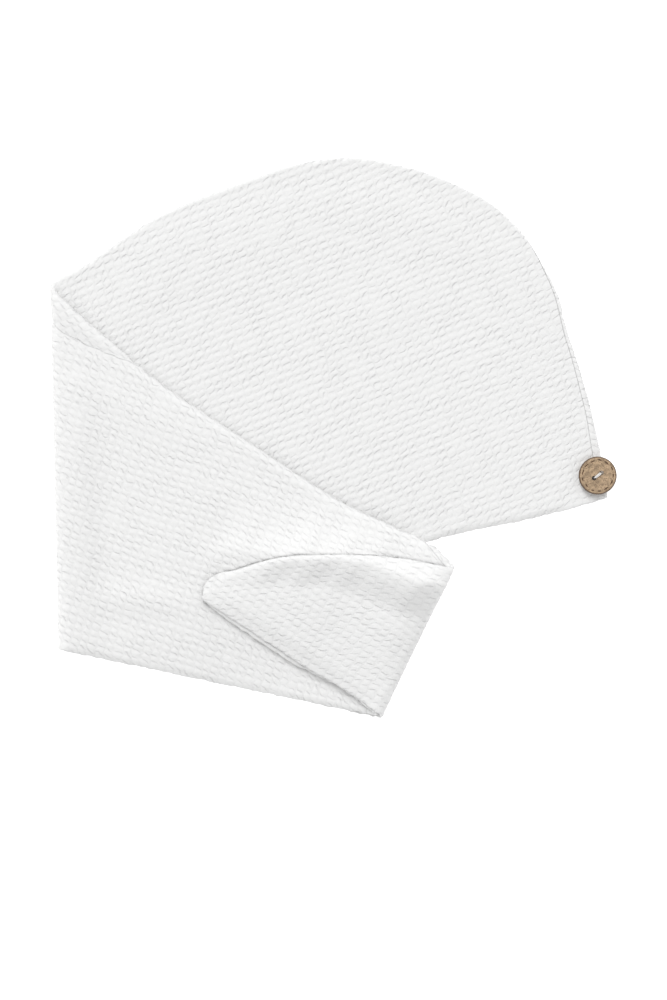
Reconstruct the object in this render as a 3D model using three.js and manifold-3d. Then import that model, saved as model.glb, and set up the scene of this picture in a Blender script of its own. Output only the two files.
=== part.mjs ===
// A hair turban towel, lying flat and folded twice, with a wooden button at its front corner.
// Two panels of waffle cotton are cut alike, sewn along one curved seam and open along the hem.
// The tail is folded over the cap at the first fold, and its tip is folded back at the second.
// Millimetres, Z up. The origin is on the surface, under the middle of the towel's outline.

import * as THREE from 'three';
import Module from 'manifold-3d';
import { mergeVertices } from 'three/addons/utils/BufferGeometryUtils.js';

// Cut of a panel. "Along" runs on the hem from the front corner to the tip, "up" is square to the hem.
const hemLength = 706;
const hoodDepth = 249;
const hemDip = 8.7; // how far the hem bows away from the seam once it is past the cap
const frontInset = 5; // the front panel's front edge is rolled back this far at the hem
const cornerInset = 9; // the back panel's seam is rolled back this far beside the first fold

// Cloth
const cloth = 2.2;
const seamGap = 0.3; // between the panels' faces at the seam
const layerGap = 0.7; // between layers that lie on each other
const seamPinch = 0.45; // share of the thickness that the sewn edge loses
const seamPinchWidth = 6;
const seamRoll = 45; // over this width the panels part from the seam to the full rise
const narrowSeamRoll = 0.42; // and over this share of the panel's height where it is narrow
const edgeLift = 1.2; // the sewn edge is this far off the surface
const edgeLiftWidth = 14;

// How far the front panel stands off the back one inside the hood, the tail and the tip
const hoodRise = 5;
const foldRise = 1.4;
const tailRise = 1.8;
const tipRise = 3.4;

// Folds: where the axis crosses the hem, and how far it leans from square to the hem
const hemTurn = 13.9; // degrees between the cap's hem and the X axis
const firstFoldAlong = 357.5;
const firstFoldLean = 13;
const secondFoldAlong = 569;
const secondFoldLean = -13.6;
const firstFoldBulge = 4.5; // the rolled cloth stands this much higher beside the first fold
const firstFoldBulgeWidth = 30;
const secondFoldBulge = 2.2;
const secondFoldBulgeWidth = 26;
const foldReach = 60; // the inner panel is eased over this length on each side of a fold
const tipSwing = 6; // degrees that the tip turns short of the mirror of its fold

// The tail drops from the cap to the surface over this width, past the cap's hem
const hemDrop = 22;

// A soft ridge stands along the tip's seam
const ridgeRise = 3.4;
const ridgeTailWidth = 20;
const ridgeTipWidth = 34;

// Button, thread and loop
const buttonDiameter = 23.6;
const buttonThickness = 4.2;
const buttonRimWidth = 2.4;
const buttonRimRise = 0.9;
const buttonDish = 0.5;
const buttonHoleLength = 3.4;
const buttonHoleWidth = 1.9;
const buttonHoleSpacing = 6;
const buttonTurn = 35; // degrees of the line through the holes
const buttonFromHem = 14.2;
const buttonFromFront = 3;
const buttonSeatInset = 1.5; // the underside is rounded this far in from the rim
const threadDiameter = 1.2;
const threadClearance = 0.3;
const loopLength = 29;
const loopWidth = 16;
const loopThickness = 1.5;
const loopFromTip = 12.5;
const loopAboveHem = 19;
const loopClearance = 0.95; // over the folds of the cloth that it lies on

// The curved seam, from the front corner over the crown to the tip.
// along: share of hemLength, up: share of hoodDepth above the hem
const seamStations = [
  { along: -0.001, up: 0.420 },
  { along: 0.000, up: 0.540 },
  { along: 0.012, up: 0.668 },
  { along: 0.028, up: 0.758 },
  { along: 0.046, up: 0.818 },
  { along: 0.090, up: 0.912 },
  { along: 0.146, up: 0.980 },
  { along: 0.190, up: 1.000 },
  { along: 0.238, up: 0.996 },
  { along: 0.322, up: 0.973 },
  { along: 0.400, up: 0.896 },
  { along: 0.490, up: 0.780 },
  { along: 0.560, up: 0.695 },
  { along: 0.640, up: 0.607 },
  { along: 0.728, up: 0.513 },
  { along: 0.780, up: 0.478 },
  { along: 0.815, up: 0.453 },
  { along: 0.838, up: 0.413 },
  { along: 0.890, up: 0.338 },
  { along: 0.929, up: 0.277 },
  { along: 0.965, up: 0.212 },
  { along: 0.991, up: 0.140 },
];
const frontBow = 0.004; // the front edge bows out by this share of hemLength
const tipBow = 0.010;
const tipRound = 8; // the seam comes down to the hem within this length past its last station

// How the hem bows. along: share of hemLength, dip: share of hemDip
const hemStations = [
  { along: 0.000, dip: 0.14 },
  { along: 0.035, dip: 0.26 },
  { along: 0.080, dip: 0.24 },
  { along: 0.130, dip: 0.06 },
  { along: 0.500, dip: 1.00 },
];

// Where the back panel's seam is rolled back. along: share of hemLength, roll: share of cornerInset
const cornerStations = [
  { along: 0.42, roll: 0 },
  { along: 0.50, roll: 1 },
  { along: 0.56, roll: 0.6 },
  { along: 0.66, roll: 0 },
];

// How the front panel stands off the back one along the towel.
// along: share of hemLength, rise: millimetres
const riseStations = [
  { along: 0.00, rise: seamGap },
  { along: 0.085, rise: hoodRise },
  { along: 0.36, rise: hoodRise },
  { along: 0.46, rise: foldRise },
  { along: 0.56, rise: foldRise },
  { along: 0.64, rise: tailRise },
  { along: 0.78, rise: tailRise },
  { along: 0.90, rise: tipRise },
  { along: 0.97, rise: tipRise },
  { along: 1.00, rise: tailRise },
];

// The ridge's crest, seen from above, as shares of the tip's length from the tip to the second fold.
// run: from the tip along the tip's hem, off: square to it
const ridgeStations = [
  { run: 0.00, off: 0.10 },
  { run: 0.16, off: 0.25 },
  { run: 0.42, off: 0.47 },
  { run: 0.66, off: 0.62 },
  { run: 0.92, off: 0.80 },
  { run: 1.10, off: 0.92 },
];

// Mesh density
const capColumns = 17;
const tailColumns = 15;
const tipColumns = 12;
const rollOffsets = [1.3, 2.8, 4.6, 7, 10, 14, 20, 28]; // columns beside a fold's axis
const rowShares = [0, 0.035, 0.12, 0.24, 0.37, 0.5, 0.62, 0.73, 0.82, 0.89, 0.94, 0.975, 1];
const buttonSides = 40;

const radians = THREE.MathUtils.degToRad;
const up = new THREE.Vector3(0, 0, 1);

function smooth(t) {
  const x = THREE.MathUtils.clamp(t, 0, 1);
  return x * x * (3 - 2 * x);
}

// A smooth reading of one column of a table, at a place in another
function readTable(rows, key, value, at) {
  if (at <= rows[0][key]) return rows[0][value];
  const last = rows[rows.length - 1];
  if (at >= last[key]) return last[value];
  const i = rows.findIndex((row) => row[key] > at);
  const [a, b] = [rows[i - 1], rows[i]];
  return THREE.MathUtils.lerp(a[value], b[value], smooth((at - a[key]) / (b[key] - a[key])));
}

// The panel's cut, in flat coordinates: x along the hem, y up from it
function hemAt(along) {
  return -hemDip * readTable(hemStations, 'along', 'dip', along / hemLength);
}

const seamCurve = new THREE.CatmullRomCurve3(
  seamStations.map(({ along, up: share }) => new THREE.Vector3(
    along * hemLength,
    share * hoodDepth + hemAt(along * hemLength),
    0,
  )),
  false,
  'centripetal',
);
const seamPoints = seamCurve.getSpacedPoints(500);

// Height of the seam over the hem's line at a place along the towel
function seamAt(along) {
  const i = seamPoints.findIndex((p) => p.x > along);
  const end = seamPoints.at(-1);
  if (i < 0) return THREE.MathUtils.lerp(end.y, hemAt(along), smooth((along - end.x) / tipRound));
  if (i === 0) return seamPoints[0].y;
  const [a, b] = [seamPoints[i - 1], seamPoints[i]];
  return THREE.MathUtils.lerp(a.y, b.y, (along - a.x) / (b.x - a.x));
}

// Flat coordinates to the plan, with the front corner at the origin and the tail to the left
const hemDirection = new THREE.Vector2(-Math.cos(radians(hemTurn)), -Math.sin(radians(hemTurn)));
const upDirection = new THREE.Vector2(-Math.sin(radians(hemTurn)), Math.cos(radians(hemTurn)));

function toPlan(flat) {
  return new THREE.Vector2(
    flat.x * hemDirection.x + flat.y * upDirection.x,
    flat.x * hemDirection.y + flat.y * upDirection.y,
  );
}

function fromPlan(plan) {
  return new THREE.Vector2(plan.dot(hemDirection), plan.dot(upDirection));
}

function reflect(plan, fold) {
  const off = plan.clone().sub(fold.point).dot(fold.out);
  return plan.clone().addScaledVector(fold.out, -2 * off);
}

// A fold's axis: a point on it and the direction that leads out of the folded towel
function foldAxis(along, lean, place) {
  const foot = new THREE.Vector2(along, hemAt(along));
  const top = new THREE.Vector2(along - Math.tan(radians(lean)) * hoodDepth, foot.y + hoodDepth);
  const point = place(foot);
  const axis = place(top).sub(point).normalize();
  const beyond = place(new THREE.Vector2(along + 100, foot.y)).sub(point);
  const out = new THREE.Vector2(-axis.y, axis.x);
  if (out.dot(beyond) < 0) out.negate();
  return { point, axis, out };
}

const firstFold = foldAxis(firstFoldAlong, firstFoldLean, toPlan);
const secondFold = foldAxis(secondFoldAlong, secondFoldLean, (flat) => reflect(toPlan(flat), firstFold));

function beyondFold(plan, fold) {
  return plan.clone().sub(fold.point).dot(fold.out);
}

// The tip turns about the second fold's foot, a little short of its mirror image
function swing(plan, degrees) {
  return plan.clone().rotateAround(secondFold.point, radians(degrees));
}

// Flat coordinates of what lies at a place in the plan, on each part of the towel
const flatOfCap = (plan) => fromPlan(plan);
const flatOfTail = (plan) => fromPlan(reflect(plan, firstFold));
const flatOfTip = (plan) => fromPlan(reflect(reflect(swing(plan, -tipSwing), secondFold), firstFold));

// Distance between the panels' facing surfaces
function riseAt(flat) {
  const full = readTable(riseStations, 'along', 'rise', flat.x / hemLength);
  const seam = seamAt(flat.x);
  const width = Math.min(seamRoll, narrowSeamRoll * Math.max(seam - hemAt(flat.x), cloth));
  return THREE.MathUtils.lerp(seamGap, full, smooth((seam - flat.y) / width));
}

// Height of the lower panel's underside at its sewn edge
function liftAt(flat) {
  const fromSeam = Math.min(seamAt(flat.x) - flat.y, flat.x + 2);
  return edgeLift * (1 - smooth(fromSeam / edgeLiftWidth));
}

// Top of the cap as the tail feels it, without the dip at the cap's seam
function capTop(plan) {
  const flat = flatOfCap(plan);
  const rise = readTable(riseStations, 'along', 'rise', flat.x / hemLength);
  const pastHem = hemAt(flat.x) - flat.y;
  return (2 * cloth + rise + layerGap) * (1 - smooth(pastHem / hemDrop));
}

function firstBulge(plan) {
  const inside = -beyondFold(plan, firstFold);
  const height = plan.clone().sub(firstFold.point).dot(firstFold.axis);
  const share = THREE.MathUtils.lerp(1, 0.1, smooth(height / hoodDepth));
  return firstFoldBulge * share * (1 - smooth((inside - 8) / firstFoldBulgeWidth));
}

// The tip's own axes in the plan: run goes from its point along its hem to the second fold
const tipLength = hemLength - secondFoldAlong;
const tipPoint = swing(
  reflect(reflect(toPlan(new THREE.Vector2(hemLength, hemAt(hemLength))), firstFold), secondFold),
  tipSwing,
);
const tipRun = secondFold.point.clone().sub(tipPoint).normalize();
const tipOff = new THREE.Vector2(-tipRun.y, tipRun.x);
if (tipOff.dot(secondFold.axis) < 0) tipOff.negate();

function ridgeAt(plan) {
  const from = plan.clone().sub(tipPoint);
  const run = from.dot(tipRun) / tipLength;
  const off = from.dot(tipOff) - readTable(ridgeStations, 'run', 'off', run) * tipLength;
  const across = off > 0 ? 1 - smooth(off / ridgeTailWidth) : 1 - smooth(-off / ridgeTipWidth);
  const ends = smooth((run + 0.12) / 0.3) * (1 - smooth((run - 0.85) / 0.3));
  return ridgeRise * across * ends;
}

function secondBulge(plan) {
  const inside = -beyondFold(plan, secondFold);
  return secondFoldBulge * (1 - smooth((inside - 6) / secondFoldBulgeWidth));
}

// Middle height of each layer over the plan, from the surface up
const heights = {
  capBack: (plan) => cloth / 2 + liftAt(flatOfCap(plan)),
  capFront: (plan) => heights.capBack(plan) + cloth + riseAt(flatOfCap(plan)),
  tailFront: (plan) => capTop(plan) + firstBulge(plan) + ridgeAt(plan) + cloth / 2 + liftAt(flatOfTail(plan)),
  tailBack: (plan) => heights.tailFront(plan) + cloth + riseAt(flatOfTail(plan)),
  tipBack: (plan) => capTop(plan) + ridgeAt(plan) + secondBulge(plan)
    + cloth * 2.5 + tailRise + layerGap + liftAt(flatOfTip(plan)),
  tipFront: (plan) => heights.tipBack(plan) + cloth + riseAt(flatOfTip(plan)),
};

// Rolls a panel over a fold. low and high are its heights before and after, outerLow and outerHigh
// those of the outer panel, which keeps its length. Gives the plan place, height and the direction
// that leads away from the middle of the roll.
function rollOver(plan, fold, low, high, outerLow, outerHigh) {
  const beyond = beyondFold(plan, fold);
  const foot = plan.clone().addScaledVector(fold.out, -beyond);
  const nominal = foot.clone().addScaledVector(fold.out, -8);
  const outerRadius = (outerHigh(nominal) - outerLow(nominal)) / 2;
  const inset = Math.PI * outerRadius / 2;
  const start = foot.clone().addScaledVector(fold.out, -inset);
  const radius = (high(start) - low(start)) / 2;
  const middle = (high(start) + low(start)) / 2;
  const quarter = Math.PI * radius / 2;
  const ownHalf = foldReach - inset + quarter;
  const far = Math.abs(beyond);
  const path = far < foldReach ? far * ownHalf / foldReach : ownHalf + far - foldReach;
  const side = Math.sign(beyond);
  if (path < quarter) {
    const angle = side * path / radius;
    return {
      plan: start.addScaledVector(fold.out, radius * Math.cos(angle)),
      height: middle + radius * Math.sin(angle),
      away: new THREE.Vector3(fold.out.x, fold.out.y, 0).multiplyScalar(Math.cos(angle))
        .addScaledVector(up, Math.sin(angle)),
    };
  }
  const place = start.addScaledVector(fold.out, quarter - path);
  return {
    plan: place,
    height: side < 0 ? low(place) : high(place),
    away: up.clone().multiplyScalar(side < 0 ? -1 : 1),
  };
}

// A point of a panel's middle surface and the direction of its outer face, from flat coordinates
function placePoint(flat, isFront) {
  const plan = toPlan(flat);
  const tail = reflect(plan, firstFold);
  const halfway = (firstFoldAlong + secondFoldAlong) / 2;
  if (flat.x < halfway) {
    const low = isFront ? heights.capFront : heights.capBack;
    const high = isFront ? heights.tailFront : heights.tailBack;
    const at = rollOver(plan, firstFold, low, high, heights.capBack, heights.tailBack);
    return { ...at, outer: at.away.multiplyScalar(isFront ? -1 : 1) };
  }
  const low = isFront ? heights.tailFront : heights.tailBack;
  const high = isFront ? heights.tipFront : heights.tipBack;
  const share = smooth(beyondFold(tail, secondFold) / foldReach);
  const at = rollOver(tail, secondFold, low, high, heights.tailFront, heights.tipFront);
  if (share > 0) {
    const swung = swing(at.plan, tipSwing * share);
    const rise = high(swung) - high(at.plan);
    return { plan: swung, height: at.height + rise, outer: at.away.multiplyScalar(isFront ? 1 : -1) };
  }
  return { ...at, outer: at.away.multiplyScalar(isFront ? 1 : -1) };
}

// Columns of the panel's mesh, each from the hem to the seam.
// Beside a fold they run parallel to its axis; elsewhere they fan between the neighbours.
function foldColumn(foldAlong, lean, offset) {
  const shift = offset / Math.cos(radians(lean));
  const along = foldAlong + shift;
  const direction = new THREE.Vector2(-Math.sin(radians(lean)), Math.cos(radians(lean)));
  const foot = new THREE.Vector2(along, hemAt(along));
  const side = (p) => (p.x - foot.x) * direction.y - (p.y - foot.y) * direction.x;
  const i = seamPoints.findIndex((p) => side(p) > 0);
  const [a, b] = [seamPoints[i - 1], seamPoints[i]];
  const share = side(a) / (side(a) - side(b));
  return { hem: along, seam: (i - 1 + share) / (seamPoints.length - 1) };
}

function fan(from, to, count) {
  return Array.from({ length: count - 1 }, (_, i) => ({
    hem: THREE.MathUtils.lerp(from.hem, to.hem, (i + 1) / count),
    seam: THREE.MathUtils.lerp(from.seam, to.seam, (i + 1) / count),
  }));
}

function rollColumns(along, lean) {
  const offsets = [...rollOffsets.map((x) => -x).reverse(), 0, ...rollOffsets];
  return offsets.map((offset) => foldColumn(along, lean, offset));
}

function panelColumns() {
  const first = rollColumns(firstFoldAlong, firstFoldLean);
  const second = rollColumns(secondFoldAlong, secondFoldLean);
  const front = { hem: 0, seam: 0 };
  const tip = { hem: hemLength, seam: 1 };
  return [
    front,
    ...fan(front, first[0], capColumns),
    ...first,
    ...fan(first.at(-1), second[0], tailColumns),
    ...second,
    ...fan(second.at(-1), tip, tipColumns),
    tip,
  ];
}

// Flat point of a column at a share of its height, with the bowed front edge and rounded tip
function flatPoint(column, share, isFront) {
  const seam = seamCurve.getPointAt(column.seam);
  const hem = hemAt(column.hem);
  const bow = 4 * share * (1 - share);
  const nearFront = 1 - smooth(column.hem / 60);
  const nearTip = smooth((column.hem - hemLength + 30) / 30);
  const inset = isFront ? frontInset * nearFront * (1 - smooth(share * seam.y / (hoodDepth * 0.55))) : 0;
  const corner = isFront ? 0 : cornerInset * readTable(cornerStations, 'along', 'roll', seam.x / hemLength);
  const x = THREE.MathUtils.lerp(column.hem, seam.x, share)
    + hemLength * bow * (tipBow * nearTip - frontBow * nearFront);
  return new THREE.Vector2(x + inset, THREE.MathUtils.lerp(hem, seam.y - corner, share));
}

// Closes a shell round a grid of middle points, with a rounded rim
function shellGeometry(grid, columns, rows) {
  const positions = [];
  const outerIndex = (i, j) => i * rows + j;
  const innerIndex = (i, j) => columns * rows + i * rows + j;
  for (const sign of [1, -1]) {
    for (const { middle, outer, thickness } of grid) {
      const p = middle.clone().addScaledVector(outer, sign * thickness / 2);
      positions.push(p.x, p.y, p.z);
    }
  }
  const faces = [];
  const quad = (a, b, c, d) => faces.push(a, b, c, a, c, d);
  for (let i = 0; i < columns - 1; i += 1) {
    for (let j = 0; j < rows - 1; j += 1) {
      quad(outerIndex(i, j), outerIndex(i + 1, j), outerIndex(i + 1, j + 1), outerIndex(i, j + 1));
      quad(innerIndex(i, j), innerIndex(i, j + 1), innerIndex(i + 1, j + 1), innerIndex(i + 1, j));
    }
  }
  const rim = [];
  for (let i = 0; i < columns; i += 1) rim.push([i, 0]);
  for (let j = 1; j < rows; j += 1) rim.push([columns - 1, j]);
  for (let i = columns - 2; i >= 0; i -= 1) rim.push([i, rows - 1]);
  for (let j = rows - 2; j > 0; j -= 1) rim.push([0, j]);
  rim.forEach(([i, j], k) => {
    const [m, n] = rim[(k + 1) % rim.length];
    quad(outerIndex(i, j), innerIndex(i, j), innerIndex(m, n), outerIndex(m, n));
  });
  const geometry = new THREE.BufferGeometry();
  geometry.setAttribute('position', new THREE.Float32BufferAttribute(positions, 3));
  geometry.setIndex(faces);
  return geometry;
}

function volumeOf(geometry) {
  const p = geometry.getAttribute('position');
  const index = geometry.getIndex();
  const corner = (k) => new THREE.Vector3().fromBufferAttribute(p, index.getX(k));
  let sum = 0;
  for (let k = 0; k < index.count; k += 3) {
    sum += corner(k).dot(corner(k + 1).cross(corner(k + 2))) / 6;
  }
  return sum;
}

function facingOut(geometry) {
  if (volumeOf(geometry) > 0) return geometry;
  const turned = Array.from(geometry.getIndex().array).reverse();
  geometry.setIndex(turned);
  return geometry;
}

function panelGeometry(isFront) {
  const columns = panelColumns();
  const grid = [];
  for (const column of columns) {
    for (const share of rowShares) {
      const flat = flatPoint(column, share, isFront);
      const seam = seamCurve.getPointAt(column.seam);
      const fromSeam = Math.min((1 - share) * (seam.y - hemAt(column.hem)), edgeDistance(column, flat));
      const pinch = 1 - seamPinch * (1 - smooth(fromSeam / seamPinchWidth));
      const { plan, height, outer } = placePoint(flat, isFront);
      grid.push({ middle: new THREE.Vector3(plan.x, plan.y, height), outer, thickness: cloth * pinch });
    }
  }
  return facingOut(shellGeometry(grid, columns.length, rowShares.length));
}

// The front edge and the tip's end are sewn too
function edgeDistance(column, flat) {
  const fromFront = column.hem === 0 ? 0 : flat.x;
  const fromTip = column.hem === hemLength ? 0 : hemLength - flat.x;
  return Math.max(0, Math.min(fromFront, fromTip));
}

// Materials
const cottonMaterial = new THREE.MeshStandardMaterial({ color: 0xf6f6f5, roughness: 0.95, metalness: 0 });
const woodMaterial = new THREE.MeshStandardMaterial({ color: 0xa38c74, roughness: 0.6, metalness: 0 });
const threadMaterial = new THREE.MeshStandardMaterial({ color: 0xf2f0ec, roughness: 0.8, metalness: 0 });
const elasticMaterial = new THREE.MeshStandardMaterial({ color: 0xf0efec, roughness: 0.7, metalness: 0 });

function namedMesh(name, geometry, material) {
  const mesh = new THREE.Mesh(geometry, material);
  mesh.name = name;
  return mesh;
}

// Solid arithmetic
const wasm = await Module();
wasm.setup();

function toSolid(geometry) {
  const bare = geometry.clone();
  bare.deleteAttribute('normal');
  bare.deleteAttribute('uv');
  const merged = mergeVertices(bare);
  return new wasm.Manifold(new wasm.Mesh({
    numProp: 3,
    vertProperties: merged.getAttribute('position').array,
    triVerts: new Uint32Array(merged.getIndex().array),
  }));
}

function toGeometry(solid) {
  const { vertProperties, triVerts } = solid.getMesh();
  const geometry = new THREE.BufferGeometry();
  geometry.setAttribute('position', new THREE.BufferAttribute(new Float32Array(vertProperties), 3));
  geometry.setIndex(Array.from(triVerts));
  return geometry;
}

// Button: a turned disc with a raised rim and a shallow dish, and two oval holes. Z is its axis.
const holePlaces = [-1, 1].map((side) => new THREE.Vector2(side * buttonHoleSpacing / 2, 0)
  .rotateAround(new THREE.Vector2(), radians(buttonTurn)));

function ovalPrism(length, width, height, turn) {
  const shape = new THREE.Shape();
  shape.absellipse(0, 0, length / 2, width / 2, 0, 2 * Math.PI, false, radians(turn));
  const geometry = new THREE.ExtrudeGeometry(shape, { depth: height, bevelEnabled: false, curveSegments: 8 });
  return geometry.translate(0, 0, -height / 2);
}

function buttonGeometry() {
  const radius = buttonDiameter / 2;
  const inner = radius - buttonRimWidth;
  const face = buttonThickness - buttonRimRise;
  const edge = 0.9;
  const profile = [
    new THREE.Vector2(0, 0),
    new THREE.Vector2(radius - 2 * edge, 0),
    new THREE.Vector2(radius - edge / 3, edge),
    new THREE.Vector2(radius, buttonThickness / 2),
    new THREE.Vector2(radius - edge / 3, buttonThickness - edge / 2),
    new THREE.Vector2(radius - edge, buttonThickness),
    new THREE.Vector2(inner + edge / 2, buttonThickness - edge / 6),
    new THREE.Vector2(inner, face),
    new THREE.Vector2(inner / 2, face - buttonDish * 0.8),
    new THREE.Vector2(0, face - buttonDish),
  ];
  let solid = toSolid(new THREE.LatheGeometry(profile, buttonSides).rotateX(Math.PI / 2));
  for (const place of holePlaces) {
    const hole = ovalPrism(buttonHoleLength, buttonHoleWidth, 4 * buttonThickness, buttonTurn + 90);
    solid = solid.subtract(toSolid(hole.translate(place.x, place.y, 0)));
  }
  return toGeometry(solid);
}

// Thread: a staple over the button's web, with a leg down each hole to the cloth
function threadGeometry(drop) {
  const radius = threadDiameter / 2;
  const top = buttonThickness - buttonRimRise + threadClearance;
  const rows = 8;
  const across = holePlaces[1].clone().sub(holePlaces[0]).normalize();
  const sideways = new THREE.Vector2(-across.y, across.x);
  const bend = radius + 0.5;
  const half = buttonHoleSpacing / 2;
  const leg = [{ along: -half, height: -drop, tilt: 0 }];
  for (let k = 0; k <= 4; k += 1) {
    const angle = (k / 4) * Math.PI / 2;
    const along = -half + bend * (1 - Math.cos(angle));
    leg.push({ along, height: top - bend + bend * Math.sin(angle), tilt: angle });
  }
  const otherLeg = leg.map(({ along, height, tilt }) => ({ along: -along, height, tilt: Math.PI - tilt }));
  const path = [...leg, ...otherLeg.reverse()];
  const positions = [];
  for (const { along, height, tilt } of path) {
    for (let k = 0; k < rows; k += 1) {
      const angle = (k / rows) * 2 * Math.PI;
      const inPlane = radius * Math.cos(angle);
      const off = radius * Math.sin(angle);
      const run = along - inPlane * Math.cos(tilt);
      positions.push(
        across.x * run + sideways.x * off,
        across.y * run + sideways.y * off,
        height + inPlane * Math.sin(tilt),
      );
    }
  }
  const faces = [];
  for (let i = 0; i < path.length - 1; i += 1) {
    for (let k = 0; k < rows; k += 1) {
      const next = (k + 1) % rows;
      const [a, b, c, d] = [i * rows + k, i * rows + next, (i + 1) * rows + next, (i + 1) * rows + k];
      faces.push(a, b, c, a, c, d);
    }
  }
  for (let k = 1; k < rows - 1; k += 1) {
    const end = (path.length - 1) * rows;
    faces.push(0, k + 1, k, end, end + k, end + k + 1);
  }
  const geometry = new THREE.BufferGeometry();
  geometry.setAttribute('position', new THREE.Float32BufferAttribute(positions, 3));
  geometry.setIndex(faces);
  return facingOut(geometry);
}

// Loop: a closed oval of round elastic that lies on the back panel's inner face, in the tip
function loopGeometry() {
  const tube = loopThickness / 2;
  const steps = 28;
  const sides = 6;
  const centre = new THREE.Vector2(hemLength - loopFromTip - loopLength / 2, hemAt(hemLength) + loopAboveHem);
  const middleAt = (turn) => {
    const flat = centre.clone().add(new THREE.Vector2(
      (loopLength / 2 - tube) * Math.cos(turn),
      (loopWidth / 2 - tube) * Math.sin(turn),
    ));
    const { plan, height } = placePoint(flat, false);
    return new THREE.Vector3(plan.x, plan.y, height + cloth / 2 + loopClearance + tube);
  };
  const positions = [];
  for (let i = 0; i < steps; i += 1) {
    const turn = (i / steps) * 2 * Math.PI;
    const middle = middleAt(turn);
    const run = middleAt(turn + 0.01).sub(middleAt(turn - 0.01)).normalize();
    const outward = run.clone().cross(up).normalize();
    const over = outward.clone().cross(run).normalize();
    for (let k = 0; k < sides; k += 1) {
      const angle = (k / sides) * 2 * Math.PI;
      const p = middle.clone()
        .addScaledVector(outward, tube * Math.cos(angle))
        .addScaledVector(over, tube * Math.sin(angle));
      positions.push(p.x, p.y, p.z);
    }
  }
  const faces = [];
  for (let i = 0; i < steps; i += 1) {
    for (let k = 0; k < sides; k += 1) {
      const [m, n] = [(i + 1) % steps, (k + 1) % sides];
      const [a, b, c, d] = [i * sides + k, m * sides + k, m * sides + n, i * sides + n];
      faces.push(a, b, c, a, c, d);
    }
  }
  const geometry = new THREE.BufferGeometry();
  geometry.setAttribute('position', new THREE.Float32BufferAttribute(positions, 3));
  geometry.setIndex(faces);
  return facingOut(geometry);
}

// Assembly
const towel = new THREE.Group();
towel.add(namedMesh('front_panel', panelGeometry(true), cottonMaterial));
towel.add(namedMesh('back_panel', panelGeometry(false), cottonMaterial));

// The button rests on the front panel where its footprint reaches highest
const buttonPlan = toPlan(new THREE.Vector2(buttonFromFront, buttonFromHem));
const footprint = buttonDiameter / 2 - buttonSeatInset;
const seatHeight = Math.max(...Array.from({ length: 16 }, (_, k) => {
  const spoke = new THREE.Vector2(footprint, 0).rotateAround(new THREE.Vector2(), (k / 8) * Math.PI);
  const at = buttonPlan.clone().add(spoke);
  return flatOfCap(at).x > 0 ? heights.capFront(at) + cloth / 2 : 0;
}));
const clothTop = heights.capFront(buttonPlan) + cloth / 2;
const buttonHeight = seatHeight + seamGap;

const button = namedMesh('button', buttonGeometry(), woodMaterial);
button.position.set(buttonPlan.x, buttonPlan.y, buttonHeight);
towel.add(button);

const thread = namedMesh('button_thread', threadGeometry(buttonHeight - clothTop - seamGap), threadMaterial);
thread.position.copy(button.position);
towel.add(thread);

towel.add(namedMesh('button_loop', loopGeometry(), elasticMaterial));

// The origin goes under the middle of the outline
const box = new THREE.Box3().setFromObject(towel);
towel.position.set(-(box.min.x + box.max.x) / 2, -(box.min.y + box.max.y) / 2, -box.min.z);

export default towel;
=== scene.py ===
"""A hair turban towel of white waffle cotton, lying flat and folded twice, with a wooden button.

Lengths are in millimetres until a mesh is written, and the frame is in metres with Z up.
"""

import math

import bmesh
import bpy
import numpy as np
from mathutils import Matrix, Vector
from mathutils.geometry import delaunay_2d_cdt


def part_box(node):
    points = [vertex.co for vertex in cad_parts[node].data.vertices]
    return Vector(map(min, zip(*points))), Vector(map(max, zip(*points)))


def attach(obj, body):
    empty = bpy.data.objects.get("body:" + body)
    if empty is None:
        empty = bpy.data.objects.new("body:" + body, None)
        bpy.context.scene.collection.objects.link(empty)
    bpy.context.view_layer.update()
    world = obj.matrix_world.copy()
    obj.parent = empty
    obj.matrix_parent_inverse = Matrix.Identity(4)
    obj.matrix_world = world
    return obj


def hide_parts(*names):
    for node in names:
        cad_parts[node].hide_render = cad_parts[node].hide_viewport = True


bl_info = {
    "name": "Hair Turban Towel",
    "version": (1, 0, 0),
    "blender": (4, 5, 0),
    "location": "View3D > Sidebar > Towel",
    "description": "Builds a folded hair turban towel of waffle cotton with a wooden button",
    "category": "Add Mesh",
}

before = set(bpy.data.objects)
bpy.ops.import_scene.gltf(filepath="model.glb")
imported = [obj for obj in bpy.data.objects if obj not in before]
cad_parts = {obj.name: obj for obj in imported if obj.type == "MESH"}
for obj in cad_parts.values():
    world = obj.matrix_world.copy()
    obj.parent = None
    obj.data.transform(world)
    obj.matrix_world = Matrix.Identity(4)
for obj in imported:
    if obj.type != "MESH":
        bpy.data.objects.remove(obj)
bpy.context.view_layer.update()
MM = 0.001
WEAVE_UNIT = 256.0  # cells of the weave in one unit of its UV map

# Cut of a panel: along the hem from the front corner to the tip, and up from the hem
HEM_LENGTH = 706.0
HOOD_DEPTH = 249.0
HEM_DIP = 8.7

# Cloth and the gaps between its layers
CLOTH = 2.2
SEAM_GAP = 0.3
LAYER_GAP = 0.7
SEAM_ROLL = 45.0
NARROW_SEAM_ROLL = 0.42
EDGE_LIFT = 0.4
EDGE_LIFT_WIDTH = 14.0
TAIL_RISE = 1.8

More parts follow.
